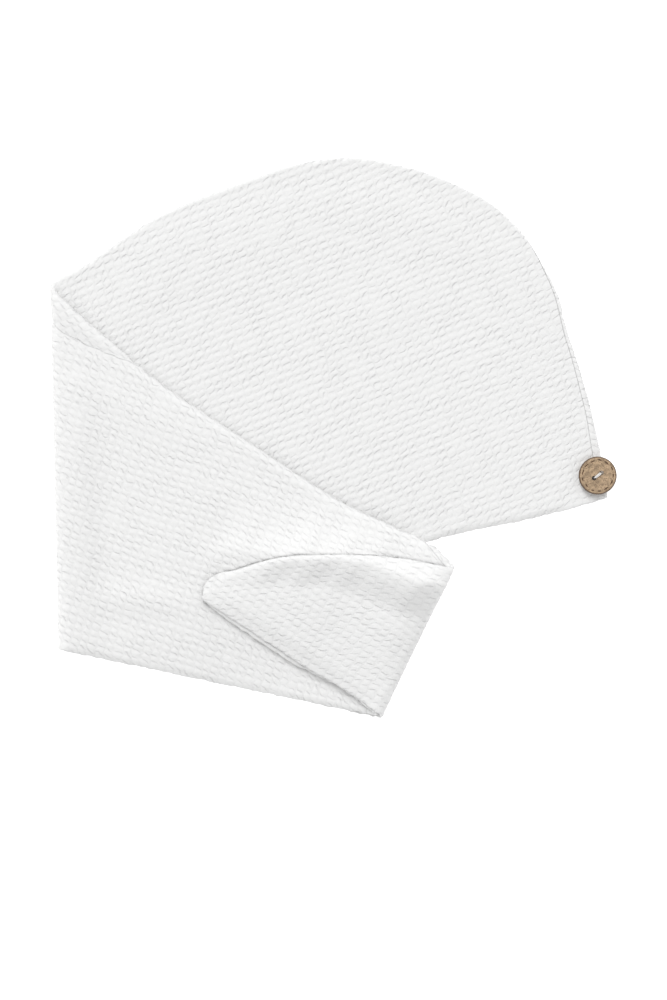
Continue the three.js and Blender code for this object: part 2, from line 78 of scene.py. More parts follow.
# Folds
HEM_TURN = 13.9
FIRST_FOLD_ALONG, FIRST_FOLD_LEAN = 357.5, 13.0
SECOND_FOLD_ALONG, SECOND_FOLD_LEAN = 569.0, -13.6
FIRST_BULGE, FIRST_BULGE_WIDTH = 4.5, 30.0
SECOND_BULGE, SECOND_BULGE_PEAK, SECOND_BULGE_WIDTH = 5.0, 16.0, 40.0
FOLD_REACH, FOLD_INSIDE = 60.0, 8.0
TIP_SWING = 6.0
HEM_DROP = 70.0
HEM_DROOP, HEM_DROOP_WIDTH = 1.6, 3.6
HEM_FREE_FROM, HEM_FREE_TO = (12.0, 30.0), (540.0, 40.0)
TIP_DROOP, TIP_DROOP_WIDTH = 2.9, 11.0
RIDGE_RISE, RIDGE_TAIL_WIDTH, RIDGE_TIP_WIDTH = 9.5, 52.0, 26.0

# Button, thread and loop
BUTTON_FROM_HEM, BUTTON_FROM_FRONT = 14.2, 3.0
LOOP_FROM_TIP, LOOP_ABOVE_HEM = 12.5, 19.0
LOOP_LENGTH, LOOP_WIDTH, LOOP_THICKNESS, LOOP_CLEARANCE = 29.0, 16.0, 1.5, 0.95

# The seam, by share of the hem's length, as a share of the hood's depth above the hem
SEAM_STATIONS = [
    (-0.001, 0.420), (0.000, 0.540), (0.012, 0.668), (0.028, 0.758), (0.046, 0.818), (0.090, 0.912),
    (0.146, 0.980), (0.190, 1.000), (0.238, 0.996), (0.322, 0.973), (0.400, 0.908), (0.426, 0.891),
    (0.450, 0.853), (0.476, 0.812), (0.510, 0.764), (0.560, 0.695), (0.640, 0.607), (0.728, 0.513),
    (0.780, 0.478), (0.815, 0.453), (0.838, 0.413), (0.890, 0.338), (0.929, 0.272), (0.965, 0.194),
    (0.991, 0.108),
]

# Bows of the cut's two ends as shares of the hem's length, the tip's rounding, and the hem's dip along it
FRONT_BOW, TIP_BOW, TIP_ROUND = 0.004, 0.010, 8.0
HEM_STATIONS = [(0.0, 0.14), (0.035, 0.26), (0.08, 0.24), (0.13, 0.06), (0.5, 1.0)]

# Opening between the panels, by share of the hem's length
RISE_STATIONS = [
    (0.0, SEAM_GAP), (0.03, 1.6), (0.11, 1.8), (0.36, 1.8), (0.46, 1.4), (0.56, 1.4),
    (0.64, TAIL_RISE), (0.78, TAIL_RISE), (0.90, 3.4), (0.97, 2.6), (1.0, 1.2),
]

# The ridge under the tip: its crest off the tip's line, and its height, by shares of the tip's length
RIDGE_STATIONS = [
    (-0.10, 0.24), (0.05, 0.295), (0.143, 0.345), (0.294, 0.44), (0.451, 0.53), (0.579, 0.57),
    (0.755, 0.605), (0.863, 0.65), (1.0, 0.71), (1.1, 0.76),
]
RIDGE_HEIGHT = [(-0.12, 0.0), (0.06, 0.5), (0.3, 1.0), (0.6, 1.2), (0.85, 1.6), (1.05, 1.55), (1.3, 0.0)]

# The tail's swelling up to the tip's sewn edge
TUCK_RISE, TUCK_WIDTH = 1.6, 26.0

# Widths and depths of the cloth's soft waves
BROAD_WAVE, NARROW_WAVE = (46.0, 38.0), (19.0, 21.0)

# Soft folds that lie across the towel: start x and y, end x and y, width, and height
CREASES = [
    (-160.0, 31.0, -156.0, -84.0, 11.0, 2.3),
    (-148.0, -99.0, -92.0, -103.0, 9.0, 1.7),
    (-74.0, -113.0, -66.0, -136.0, 3.0, -0.9),
    (-156.0, 32.0, -60.0, -9.0, 12.0, 0.9),
    (-140.0, 116.0, -56.0, 160.0, 17.0, 2.0),
    (-80.0, -71.0, -12.0, -66.0, 7.0, 0.8),
    (18.0, -70.0, 50.0, -80.0, 5.0, -1.1),
    (-20.0, 60.0, 60.0, 84.0, 16.0, 0.5),
]

# Where the seam lies round the folded edge, in millimetres by share of the hem's length. Above zero the
# back panel wraps over the edge and the seam shows on the front panel's side; below zero the other way.
SEAM_SHIFT = [
    (-0.003, 2.0), (0.002, 1.5), (0.008, 0.8), (0.015, -0.3), (0.05, -0.8), (0.41, -0.8), (0.44, -13.0),
    (0.465, -14.0), (0.484, -10.5), (0.50, -7.2), (0.511, -4.6), (0.523, -1.4), (0.535, 0.4), (0.79, 0.5),
    (0.806, -0.6), (0.82, -2.6), (0.835, -3.2), (0.85, -1.0), (1.0, -1.0),
]

# The same at the front end, by share of its height, and how far the back panel's hem shows past the front's
FRONT_EDGE_SHIFT = [(0.0, 5.0), (0.3, 4.4), (0.55, 3.2), (1.0, 2.0)]
BACK_HEM_DROP = [(0.86, 0.0), (0.915, 2.6), (0.975, 2.2), (1.0, 0.0)]

# How thin the sewn edge is pressed, by share of the hem's length, and its radius and thinning
THIN_EDGE = [
    (0.40, 0.0), (0.44, 0.5), (0.50, 0.6), (0.54, 0.85), (0.80, 0.85), (0.83, 0.4), (0.875, 1.0), (1.0, 1.0),
]
SEAM_RADIUS, THIN_RADIUS = (CLOTH + SEAM_GAP) / 2, 0.34
SEAM_PINCH, THIN_PINCH, SEAM_PINCH_WIDTH = 0.45, 0.78, 6.0
SEWN_RIM = 0.42

# Lean of the weave's rows against the hem, in degrees, and of its columns against the square
ROW_LEAN = [(0.0, -6.8), (0.46, -6.8), (0.64, -4.7), (0.85, 0.0), (1.0, 2.7)]
COLUMN_LEAN = 3.1

# The waffle's pillows over the cloth's mean face, and the open hem's unevenness
PILLOW, PILLOW_SPREAD, PILLOW_SUNK = 0.16, 0.12, 0.28
HEM_INSET, HEM_UNEVENNESS = 0.3, 0.42

# Mesh of a panel: steps to a cell outside, inside near a bend and inside elsewhere, with the margins that
# each lattice keeps from the outline, and the reach of the finer inner lattice
OUTLINE_SPACING = 1.6
OUTER_STEPS, OUTER_MARGIN = 4, 2.3
FINE_STEPS, FINE_MARGIN = 2, 3.0
COARSE_STEPS, COARSE_MARGIN = 1, 5.0
FIRST_BEND, SECOND_BEND, EDGE_BEND = 26.0, 22.0, 4.0
RIM_ANGLES = (30, 60, 90, 120, 150)

# Stage, in metres
KEY_DIRECTION = (-0.28, 0.93, 1.05)
FLOOR_SIZE, FLOOR_DROP = 6.0, 0.0002
CAMERA_DISTANCE, CAMERA_Y, TOWEL_MIDDLE = 3.0, -0.03906, 0.012


def length_property(name, description, default, low, high):
    return bpy.props.FloatProperty(
        name=name, description=description + ", in metres", default=default, min=low, max=high,
        subtype="DISTANCE", unit="LENGTH")


def colour_property(name, description, default):
    return bpy.props.FloatVectorProperty(
        name=name, description=description, subtype="COLOR", size=3, default=default, min=0.0, max=1.0)


class ClothSettings(bpy.types.PropertyGroup):
    cell_length: length_property("Cell length", "Length of a cell along the rows", 0.0055, 0.003, 0.012)
    cell_height: length_property("Cell height", "Distance between the waffle's rows", 0.0045, 0.003, 0.012)
    relief: length_property("Relief", "Depth of the grooves between the cells", 0.00036, 0.0, 0.0012)
    wave: length_property("Wave", "Height of the soft waves of the lying cloth", 0.0007, 0.0, 0.002)
    colour: colour_property("Colour", "Colour of the cotton", (0.80, 0.80, 0.797))
    # Painted shade: the cotton is darkened towards this colour deep in the weave's grooves
    groove_shade_colour: colour_property(
        "Groove shade colour", "Colour painted into the grooves as shade", (0.68, 0.68, 0.68))
    seed: bpy.props.IntProperty(
        name="Seed", description="Seed of the weave's and the waves' unevenness", default=7, min=0)


class ButtonSettings(bpy.types.PropertyGroup):
    diameter: length_property("Diameter", "Diameter of the button", 0.0236, 0.01, 0.05)
    thickness: length_property("Thickness", "Thickness of the button", 0.0042, 0.002, 0.01)
    hole_spacing: length_property("Hole spacing", "Distance between the two holes", 0.0057, 0.003, 0.012)
    hole_diameter: length_property("Hole diameter", "Diameter of the two holes", 0.0029, 0.001, 0.005)
    turn: bpy.props.FloatProperty(
        name="Turn", description="Angle of the line through the holes", default=math.radians(35),
        subtype="ANGLE")
    dash_count: bpy.props.IntProperty(
        name="Dashes", description="Number of dashes burnt round the face", default=13, min=3, max=60)
    seed: bpy.props.IntProperty(name="Seed", description="Seed of the dashes' unevenness", default=4, min=0)
    colour: colour_property("Wood colour", "Colour of the button's face", (0.365, 0.262, 0.166))
    dark_colour: colour_property(
        "Dark colour", "Colour of the flecks and of the burnt dashes", (0.09, 0.052, 0.030))
    thread_colour: colour_property("Thread colour", "Colour of the sewing thread", (0.86, 0.85, 0.83))
    loop_colour: colour_property("Loop colour", "Colour of the elastic loop", (0.84, 0.84, 0.83))


class StageSettings(bpy.types.PropertyGroup):
    floor_colour: colour_property("Floor colour", "Colour of the floor", (0.95, 0.95, 0.95))
    floor_glow: bpy.props.FloatProperty(
        name="Floor glow", description="Strength of the light from the floor itself", default=0.55, min=0.0)
    sun_strength: bpy.props.FloatProperty(
        name="Key light", description="Strength of the soft light from the back", default=1.6, min=0.0)
    sun_spread: bpy.props.FloatProperty(
        name="Key softness", description="Angle that the key light's disc covers", default=math.radians(30),
        subtype="ANGLE")
    sky_strength: bpy.props.FloatProperty(
        name="Fill light", description="Strength of the even light all round", default=0.745, min=0.0)
    view_height: length_property("View height", "Depth of the floor that the picture spans", 0.62, 0.1, 3.0)


# Reading tables and curves


def smooth(t):
    t = np.clip(t, 0.0, 1.0)
    return t * t * (3.0 - 2.0 * t)


def fade(t):
    """One at zero, falling smoothly to zero at one."""
    return 1.0 - smooth(t)


def mix(a, b, share):
    return a + (b - a) * share


def read_table(rows, at):
    places = np.array([row[0] for row in rows])
    values = np.array([row[1] for row in rows])
    k = np.clip(np.searchsorted(places, at, side="right") - 1, 0, len(rows) - 2)
    share = (at - places[k]) / (places[k + 1] - places[k])
    return mix(values[k], values[k + 1], smooth(share))


def centripetal_curve(points, steps):
    """A centripetal Catmull-Rom curve through the points."""
    ends = [2 * points[0] - points[1], *points, 2 * points[-1] - points[-2]]
    share = np.linspace(0.0, 1.0, steps, endpoint=False)[:, None]
    parts = []
    for a, b, c, d in zip(ends, ends[1:], ends[2:], ends[3:]):
        ta, tb, tc = (math.sqrt(np.linalg.norm(q - p)) for p, q in ((a, b), (b, c), (c, d)))
        start = ((b - a) / ta - (c - a) / (ta + tb) + (c - b) / tb) * tb
        stop = ((c - b) / tb - (d - b) / (tb + tc) + (d - c) / tc) * tb
        quadratic = -3 * b + 3 * c - 2 * start - stop
        cubic = 2 * b - 2 * c + start + stop
        parts.append(b + start * share + quadratic * share**2 + cubic * share**3)
    parts.append(points[-1][None, :])
    return np.concatenate(parts)


def soft_noise(x, y, seed):
    """Smooth noise from -1 to 1, one bump per unit."""
    table = np.random.default_rng(seed).uniform(-1.0, 1.0, (64, 64))
    i, j = np.floor(x).astype(int), np.floor(y).astype(int)
    s, t = smooth(x - i), smooth(y - j)
    corner = [[table[(i + m) % 64, (j + n) % 64] for n in (0, 1)] for m in (0, 1)]
    return mix(mix(corner[0][0], corner[0][1], t), mix(corner[1][0], corner[1][1], t), s)


# The cut in flat coordinates: x along the hem, y up from it


def hem_at(along):
    return -HEM_DIP * read_table(HEM_STATIONS, along / HEM_LENGTH)


SEAM = centripetal_curve(
    [np.array([a * HEM_LENGTH, u * HOOD_DEPTH + float(hem_at(a * HEM_LENGTH))]) for a, u in SEAM_STATIONS],
    60)


def seam_at(along):
    """Height of the seam over the hem's line."""
    inside = np.interp(along, SEAM[:, 0], SEAM[:, 1])
    past = mix(SEAM[-1, 1], hem_at(along), smooth((along - SEAM[-1, 0]) / TIP_ROUND))
    return np.where(along > SEAM[-1, 0], past, inside)


# Flat coordinates to the plan

HEM_TURN_RADIANS = math.radians(HEM_TURN)
TO_PLAN = np.array([
    [-math.cos(HEM_TURN_RADIANS), -math.sin(HEM_TURN_RADIANS)],
    [-math.sin(HEM_TURN_RADIANS), math.cos(HEM_TURN_RADIANS)],
])


def to_plan(flat):
    return flat @ TO_PLAN


def from_plan(plan):
    return plan @ TO_PLAN.T


class Fold:
    """A fold's axis: a point on it, its direction, and the direction out of the folded towel."""

    def __init__(self, along, lean, place):
        foot = np.array([along, float(hem_at(along))])
        top = foot + [-math.tan(math.radians(lean)) * HOOD_DEPTH, HOOD_DEPTH]
        self.point = place(foot)
        axis = place(top) - self.point
        self.axis = axis / np.linalg.norm(axis)
        self.out = np.array([-self.axis[1], self.axis[0]])
        if self.out @ (place(foot + [100.0, 0.0]) - self.point) < 0:
            self.out = -self.out

    def beyond(self, plan):
        return (plan - self.point) @ self.out

    def reflect(self, plan):
        return plan - 2.0 * np.multiply.outer(self.beyond(plan), self.out)


FIRST_FOLD = Fold(FIRST_FOLD_ALONG, FIRST_FOLD_LEAN, to_plan)
SECOND_FOLD = Fold(SECOND_FOLD_ALONG, SECOND_FOLD_LEAN, lambda flat: FIRST_FOLD.reflect(to_plan(flat)))


def swing(plan, degrees):
    """Turns the tip about the second fold's foot."""
    turn = np.radians(degrees)
    off = plan - SECOND_FOLD.point
    x = off[..., 0] * np.cos(turn) - off[..., 1] * np.sin(turn)
    y = off[..., 0] * np.sin(turn) + off[..., 1] * np.cos(turn)
    return SECOND_FOLD.point + np.stack([x, y], axis=-1)


def flat_of_tail(plan):
    return from_plan(FIRST_FOLD.reflect(plan))


def flat_of_tip(plan):
    return from_plan(FIRST_FOLD.reflect(SECOND_FOLD.reflect(swing(plan, -TIP_SWING))))


TIP_LENGTH = HEM_LENGTH - SECOND_FOLD_ALONG
TIP_CORNER = np.array([HEM_LENGTH, float(hem_at(HEM_LENGTH))])
TIP_POINT = swing(SECOND_FOLD.reflect(FIRST_FOLD.reflect(to_plan(TIP_CORNER))), TIP_SWING)
TIP_RUN = (SECOND_FOLD.point - TIP_POINT) / np.linalg.norm(SECOND_FOLD.point - TIP_POINT)
TIP_OFF = np.array([-TIP_RUN[1], TIP_RUN[0]])
TIP_OFF = TIP_OFF if TIP_OFF @ SECOND_FOLD.axis > 0 else -TIP_OFF


# Heights of the layers over the plan


def rise_at(flat):
    """Distance between the panels' facing surfaces."""
    full = read_table(RISE_STATIONS, flat[:, 0] / HEM_LENGTH)
    seam = seam_at(flat[:, 0])
    narrow = NARROW_SEAM_ROLL * np.maximum(seam - hem_at(flat[:, 0]), CLOTH)
    thin = read_table(THIN_EDGE, flat[:, 0] / HEM_LENGTH) * fade((seam - flat[:, 1]) / SEAM_PINCH_WIDTH)
    opening = mix(SEAM_GAP, full, smooth((seam - flat[:, 1]) / np.minimum(SEAM_ROLL, narrow)))
    return opening - 2 * (SEAM_RADIUS - THIN_RADIUS) * thin


def lift_at(flat):
    """Height of the lower panel's sewn edge off the surface."""
    from_seam = np.minimum(seam_at(flat[:, 0]) - flat[:, 1], flat[:, 0] + 2.0)
    return EDGE_LIFT * fade(from_seam / EDGE_LIFT_WIDTH)


def cap_top(plan):
    flat = from_plan(plan)
    rise = read_table(RISE_STATIONS, flat[:, 0] / HEM_LENGTH)
    past_hem = hem_at(flat[:, 0]) - flat[:, 1]
    return (2 * CLOTH + rise + LAYER_GAP) * fade(past_hem / HEM_DROP)


def first_bulge(plan):
    inside = -FIRST_FOLD.beyond(plan)
    height = (plan - FIRST_FOLD.point) @ FIRST_FOLD.axis
    along = mix(1.0, 0.1, smooth(height / HOOD_DEPTH))
    return FIRST_BULGE * along * fade((inside - FOLD_INSIDE) / FIRST_BULGE_WIDTH)


def tip_frame(plan):
    """Places along the tip's line and off it, as shares of the tip's length."""
    return (plan - TIP_POINT) @ TIP_RUN / TIP_LENGTH, (plan - TIP_POINT) @ TIP_OFF / TIP_LENGTH


def tuck_at(plan):
    """How far the tail swells up to the tip's sewn edge, so that no step shows there."""
    run, off = tip_frame(plan)
    past = (off - np.interp(run, *TIP_EDGE)) * TIP_LENGTH * 0.87
    along = smooth((run + 0.03) / 0.1) * fade((run - 0.8) / 0.16)
    falling = (1.0 - np.clip((past - 1.0) / TUCK_WIDTH, 0.0, 1.0)) ** 2
    return TUCK_RISE * along * smooth((past + 3.0) / 2.7) * falling


def ridge_at(plan):
    run, off = tip_frame(plan)
    off = (off - read_table(RIDGE_STATIONS, run)) * TIP_LENGTH
    over_tail = np.clip(1.0 - off / RIDGE_TAIL_WIDTH, 0.0, 1.0) ** 2
    across = np.where(off > 0, over_tail, fade(-off / RIDGE_TIP_WIDTH))
    return RIDGE_RISE * read_table(RIDGE_HEIGHT, run) * across


def second_bulge(plan):
    inside = -SECOND_FOLD.beyond(plan)
    height = (plan - SECOND_FOLD.point) @ SECOND_FOLD.axis
    across = smooth(inside / SECOND_BULGE_PEAK) * fade((inside - SECOND_BULGE_PEAK) / SECOND_BULGE_WIDTH)
    return SECOND_BULGE * smooth((height - 6.0) / 50.0) * across


def hem_droop(flat):
    """How far the upper panel's open edge hangs down."""
    (start, start_width), (stop, stop_width) = HEM_FREE_FROM, HEM_FREE_TO
    free = smooth((flat[:, 0] - start) / start_width) * fade((flat[:, 0] - stop) / stop_width)
    return HEM_DROOP * free * fade((flat[:, 1] - hem_at(flat[:, 0])) / HEM_DROOP_WIDTH)


def waves(plan, cloth):
    """Soft waves of the lying cloth, with the creases' soft folds and dents."""
    x, y = plan[:, 0], plan[:, 1]
    broad = soft_noise(x / BROAD_WAVE[0], y / BROAD_WAVE[1], cloth.seed)
    narrow = soft_noise(x / NARROW_WAVE[0] + 9, y / NARROW_WAVE[1], cloth.seed + 1)
    height = cloth.wave / MM * (0.55 + 0.4 * (broad + 0.5 * narrow))
    for x0, y0, x1, y1, width, rise in CREASES:
        start, run = np.array([x0, y0]) - ORIGIN[:2], np.array([x1 - x0, y1 - y0])
        share = np.clip((plan - start) @ run / (run @ run), 0.0, 1.0)
        off = plan - start - np.multiply.outer(share, run)
        ends = np.sin(math.pi * (0.08 + 0.84 * share)) ** 0.5
        height = height + rise * ends * np.exp(-(off ** 2).sum(axis=1) / width**2)
    return height


class Layers:
    """Middle height of each layer, from the surface up."""

    def __init__(self, cloth):
        self.cloth = cloth

    def cap_back(self, plan):
        return CLOTH / 2 + lift_at(from_plan(plan))

    def cap_front(self, plan):
        flat = from_plan(plan)
        free = smooth((seam_at(flat[:, 0]) - flat[:, 1]) / 30.0) * smooth((flat[:, 0] - 4.0) / 40.0)
        return self.cap_back(plan) + CLOTH + rise_at(flat) + waves(plan, self.cloth) * free - hem_droop(flat)

    def tail_front(self, plan):
        lie = cap_top(plan) + first_bulge(plan) + ridge_at(plan) + tuck_at(plan)
        lie = lie + lift_at(flat_of_tail(plan))
        return lie + CLOTH / 2 + waves(plan, self.cloth)

    def tail_back(self, plan):
        flat = flat_of_tail(plan)
        return self.tail_front(plan) + CLOTH + rise_at(flat) - hem_droop(flat)

    def tip_back(self, plan):
        lie = cap_top(plan) + ridge_at(plan) + second_bulge(plan) + lift_at(flat_of_tip(plan))
        return lie + CLOTH * 2.5 + TAIL_RISE + LAYER_GAP + waves(plan, self.cloth)

    def tip_front(self, plan):
        flat = flat_of_tip(plan)
        rise = rise_at(flat)
        droop = np.clip(rise - SEAM_GAP, 0.0, TIP_DROOP)
        droop *= fade((flat[:, 1] - hem_at(flat[:, 0])) / TIP_DROOP_WIDTH)
        return self.tip_back(plan) + CLOTH + rise - droop * smooth((flat[:, 0] - 572.0) / 16.0)


def roll_over(plan, fold, low, high, outer_low, outer_high):
    """Rolls a panel over a fold. Gives plan, height, and the direction away from the roll's middle."""
    beyond = fold.beyond(plan)
    foot = plan - np.multiply.outer(beyond, fold.out)
    nominal = foot - FOLD_INSIDE * fold.out
    inset = math.pi * (outer_high(nominal) - outer_low(nominal)) / 4
    start = foot - np.multiply.outer(inset, fold.out)
    low_start, high_start = low(start), high(start)
    radius, middle = (high_start - low_start) / 2, (high_start + low_start) / 2
    quarter = math.pi * radius / 2
    own_half = FOLD_REACH - inset + quarter
    far = np.abs(beyond)
    path = np.where(far < FOLD_REACH, far * own_half / FOLD_REACH, own_half + far - FOLD_REACH)
    side = np.sign(beyond)
    angle = side * path / radius
    rolled = path < quarter
    place = start + np.multiply.outer(np.where(rolled, radius * np.cos(angle), quarter - path), fold.out)
    resting = np.where(side < 0, low(place), high(place))
    height = np.where(rolled, middle + radius * np.sin(angle), resting)
    lean = np.where(rolled, np.cos(angle), 0.0)
    rise = np.where(rolled, np.sin(angle), np.where(side < 0, -1.0, 1.0))
    return place, height, np.column_stack([np.multiply.outer(lean, fold.out), rise])


def place_points(flat, is_front, layers):
    """Middle points of a panel and the directions of its outer face, in millimetres."""
    middle = np.empty((len(flat), 3))
    outer = np.empty((len(flat), 3))
    cap, tail, tip = (
        (layers.cap_front, layers.tail_front, layers.tip_front) if is_front
        else (layers.cap_back, layers.tail_back, layers.tip_back))
    plan = to_plan(flat)
    near = flat[:, 0] < (FIRST_FOLD_ALONG + SECOND_FOLD_ALONG) / 2
    place, height, away = roll_over(plan[near], FIRST_FOLD, cap, tail, layers.cap_back, layers.tail_back)
    middle[near] = np.column_stack([place, height])
    outer[near] = -away if is_front else away
    turned = FIRST_FOLD.reflect(plan[~near])
    place, height, away = roll_over(turned, SECOND_FOLD, tail, tip, layers.tail_front, layers.tip_front)
    share = smooth(SECOND_FOLD.beyond(turned) / FOLD_REACH)
    swung = swing(place, TIP_SWING * share)
    height = height + np.where(share > 0, tip(swung) - tip(place), 0.0)
    middle[~near] = np.column_stack([swung, height])
    outer[~near] = away if is_front else -away
    return middle, outer


# Outline of a panel, and the mesh of its weave


def bowed_end(foot, top, bow, steps):
    """A bowed end of the cut, from the hem up to the seam."""
    share = np.linspace(0.0, 1.0, steps)
    line = foot + np.multiply.outer(share, top - foot)
    line[:, 0] += bow * 4 * share * (1 - share)
    return line, share


def resample(line, spacing):
    """Evenly spaced points round a closed line."""
    closed = np.vstack([line, line[:1]])
    length = np.concatenate([[0.0], np.cumsum(np.linalg.norm(np.diff(closed, axis=0), axis=1))])
    at = np.linspace(0.0, length[-1], int(length[-1] / spacing), endpoint=False)
    return np.column_stack([np.interp(at, length, closed[:, k]) for k in (0, 1)])


def nearest_on(line, points, chunk=4000):
    """Index of the nearest point of the line."""
    index = np.empty(len(points), dtype=int)
    for k in range(0, len(points), chunk):
        part = points[k:k + chunk]
        square = ((part[:, None, :] - line[None, :, :]) ** 2).sum(axis=2)
        index[k:k + chunk] = square.argmin(axis=1)
    return index


def sewn_edge():
    """The sewn edge from the front corner over the crown to the tip, its inward normals and seam shift."""
    front, height = bowed_end(np.array([0.0, float(hem_at(0.0))]), SEAM[0], -HEM_LENGTH * FRONT_BOW, 120)
    tip, _ = bowed_end(TIP_CORNER, SEAM[-1], HEM_LENGTH * TIP_BOW, 60)
    line = np.vstack([front[:-1], SEAM[:-1], tip[::-1]])
    shift = np.concatenate([
        read_table(FRONT_EDGE_SHIFT, height[:-1]),
        read_table(SEAM_SHIFT, np.append(SEAM[:-1], tip[::-1], axis=0)[:, 0] / HEM_LENGTH)])
    length = np.concatenate([[0.0], np.cumsum(np.linalg.norm(np.diff(line, axis=0), axis=1))])
    at = np.arange(0.0, length[-1], 0.5)
    even = np.column_stack([np.interp(at, length, line[:, k]) for k in (0, 1)])
    run = np.gradient(even, axis=0)
    inward = np.column_stack([run[:, 1], -run[:, 0]]) / np.linalg.norm(run, axis=1)[:, None]
    return even + inward * CLOTH * 0.28, inward, np.interp(at, length, shift)


def tip_edge():
    """The tip's sewn edge over the plan, in the tip's frame."""
    flat = EDGE_LINE[EDGE_LINE[:, 0] > SECOND_FOLD_ALONG]
    run, off = tip_frame(swing(SECOND_FOLD.reflect(FIRST_FOLD.reflect(to_plan(flat))), TIP_SWING))
    order = np.argsort(run)
    return run[order], off[order]


EDGE_LINE, EDGE_INWARD, EDGE_SHIFT = sewn_edge()
EDGE_THIN = read_table(THIN_EDGE, EDGE_LINE[:, 0] / HEM_LENGTH)
EDGE_RADIUS = mix(SEAM_RADIUS, THIN_RADIUS, EDGE_THIN)
EDGE_PINCH = mix(SEAM_PINCH, THIN_PINCH, EDGE_THIN)
TIP_EDGE = tip_edge()


def cut_depth(is_front):
    """How far inside the folded edge each panel's own cut lies; below zero it wraps over the edge."""
    size = np.abs(EDGE_SHIFT)
    bent = EDGE_RADIUS * np.arccos(np.clip(1 - size / EDGE_RADIUS, -1, 1))
    round_it = np.where(size < EDGE_RADIUS, bent, math.pi * EDGE_RADIUS / 2 + size - EDGE_RADIUS)
    along_arc = np.sign(EDGE_SHIFT) * round_it * (-1 if is_front else 1)
    return EDGE_RADIUS - (math.pi * EDGE_RADIUS / 2 + along_arc) + 0.05


CUT_DEPTH = {True: cut_depth(True), False: cut_depth(False)}


def near_edge(flat, reach=12.0):
    """Which points lie near the sewn edge, their nearest place on it and their depth inside it."""
    rough = np.minimum.reduce([seam_at(flat[:, 0]) - flat[:, 1], flat[:, 0], HEM_LENGTH - flat[:, 0]])
    close = np.flatnonzero(rough < reach * 1.8)
    index = nearest_on(EDGE_LINE, flat[close])
    depth = ((flat[close] - EDGE_LINE[index]) * EDGE_INWARD[index]).sum(axis=1)
    return close, index, depth


def place_cloth(flat, is_front, layers):
    """Places a panel, with its sewn edge rolled over towards the other panel. Adds the half thickness."""
    half = np.full(len(flat), CLOTH / 2)
    close, index, depth = near_edge(flat)
    to_cut = depth - CUT_DEPTH[is_front][index]
    half[close] *= 1 - EDGE_PINCH[index] * fade(to_cut / SEAM_PINCH_WIDTH)
    bent = depth < EDGE_RADIUS[index]
    close, index, depth = close[bent], index[bent], depth[bent]
    radius = EDGE_RADIUS[index]
    angle = np.minimum((radius - depth) / radius, math.pi)
    new_depth = radius * (1 - np.sin(angle)) + np.maximum(radius * (1 - math.pi) - depth, 0.0)
    source = flat.copy()
    source[close] += EDGE_INWARD[index] * (new_depth - depth)[:, None]
    middle, outer = place_points(source, is_front, layers)
    if len(close):
        step = EDGE_INWARD[index] * 0.4
        inner_place, _ = place_points(source[close] + step, is_front, layers)
        outer_place, _ = place_points(source[close] - step, is_front, layers)
        other_middle, other_outer = place_points(source[close], not is_front, layers)
        outward = outer_place - inner_place
        outward -= outer[close] * (outward * outer[close]).sum(axis=1)[:, None]
        outward /= np.linalg.norm(outward, axis=1)[:, None]
        over = ((1 - np.cos(angle)) / 2)[:, None]
        middle[close] = mix(middle[close], other_middle, over)
        outer[close] = mix(outer[close], other_outer, over) + outward * np.sin(angle)[:, None]
        outer[close] /= np.linalg.norm(outer[close], axis=1)[:, None]
    return middle, outer, half


def panel_outline(is_front, spacing):
    """The cut's closed outline, counterclockwise in flat coordinates, and its inward normals."""
    edge = EDGE_LINE + EDGE_INWARD * CUT_DEPTH[is_front][:, None]
    along = np.linspace(edge[0, 0], edge[-1, 0], 900)
    hem = np.column_stack([along, hem_at(along)])
    if not is_front:
        hem[:, 1] -= read_table(BACK_HEM_DROP, along / HEM_LENGTH)
    line = resample(np.vstack([hem, edge[-4:3:-1]]), spacing)
    run = np.roll(line, -1, axis=0) - np.roll(line, 1, axis=0)
    inward = np.column_stack([-run[:, 1], run[:, 0]]) / np.linalg.norm(run, axis=1)[:, None]
    return line, inward


ROW_PLACES = np.linspace(-40.0, HEM_LENGTH + 40.0, 800)
ROW_DRIFT = np.concatenate([[0.0], np.cumsum(
    np.tan(np.radians(read_table(ROW_LEAN, ROW_PLACES[1:] / HEM_LENGTH))) * np.diff(ROW_PLACES))])


def weave_to_flat(cells, cloth):
    """Weave coordinates, in cells, to flat ones. The rows and columns wander a little."""
    length, height = cloth.cell_length / MM, cloth.cell_height / MM
    base = cells * [length, height]
    flat = base.copy()
    for _ in range(8):
        drift = np.interp(flat[:, 0], ROW_PLACES, ROW_DRIFT)
        flat = base + np.column_stack([math.tan(math.radians(COLUMN_LEAN)) * flat[:, 1], drift])
    wander = np.column_stack([
        soft_noise(cells[:, 0] / 7.0, cells[:, 1] / 5.0, cloth.seed + 2),
        soft_noise(cells[:, 0] / 6.0, cells[:, 1] / 8.0, cloth.seed + 3)])
    jitter = np.column_stack([
        soft_noise(cells[:, 0] / 1.6, cells[:, 1] / 1.4, cloth.seed + 8),
        soft_noise(cells[:, 0] / 1.9, cells[:, 1] / 1.3, cloth.seed + 9)])
    return flat + wander * [0.9, 0.6] + jitter * [0.45, 0.38]


def flat_to_weave(flat, cloth):
    drift = np.interp(flat[:, 0], ROW_PLACES, ROW_DRIFT)
    across = flat[:, 0] - math.tan(math.radians(COLUMN_LEAN)) * flat[:, 1]
    upward = flat[:, 1] - drift
    return np.column_stack([across / (cloth.cell_length / MM), upward / (cloth.cell_height / MM)])


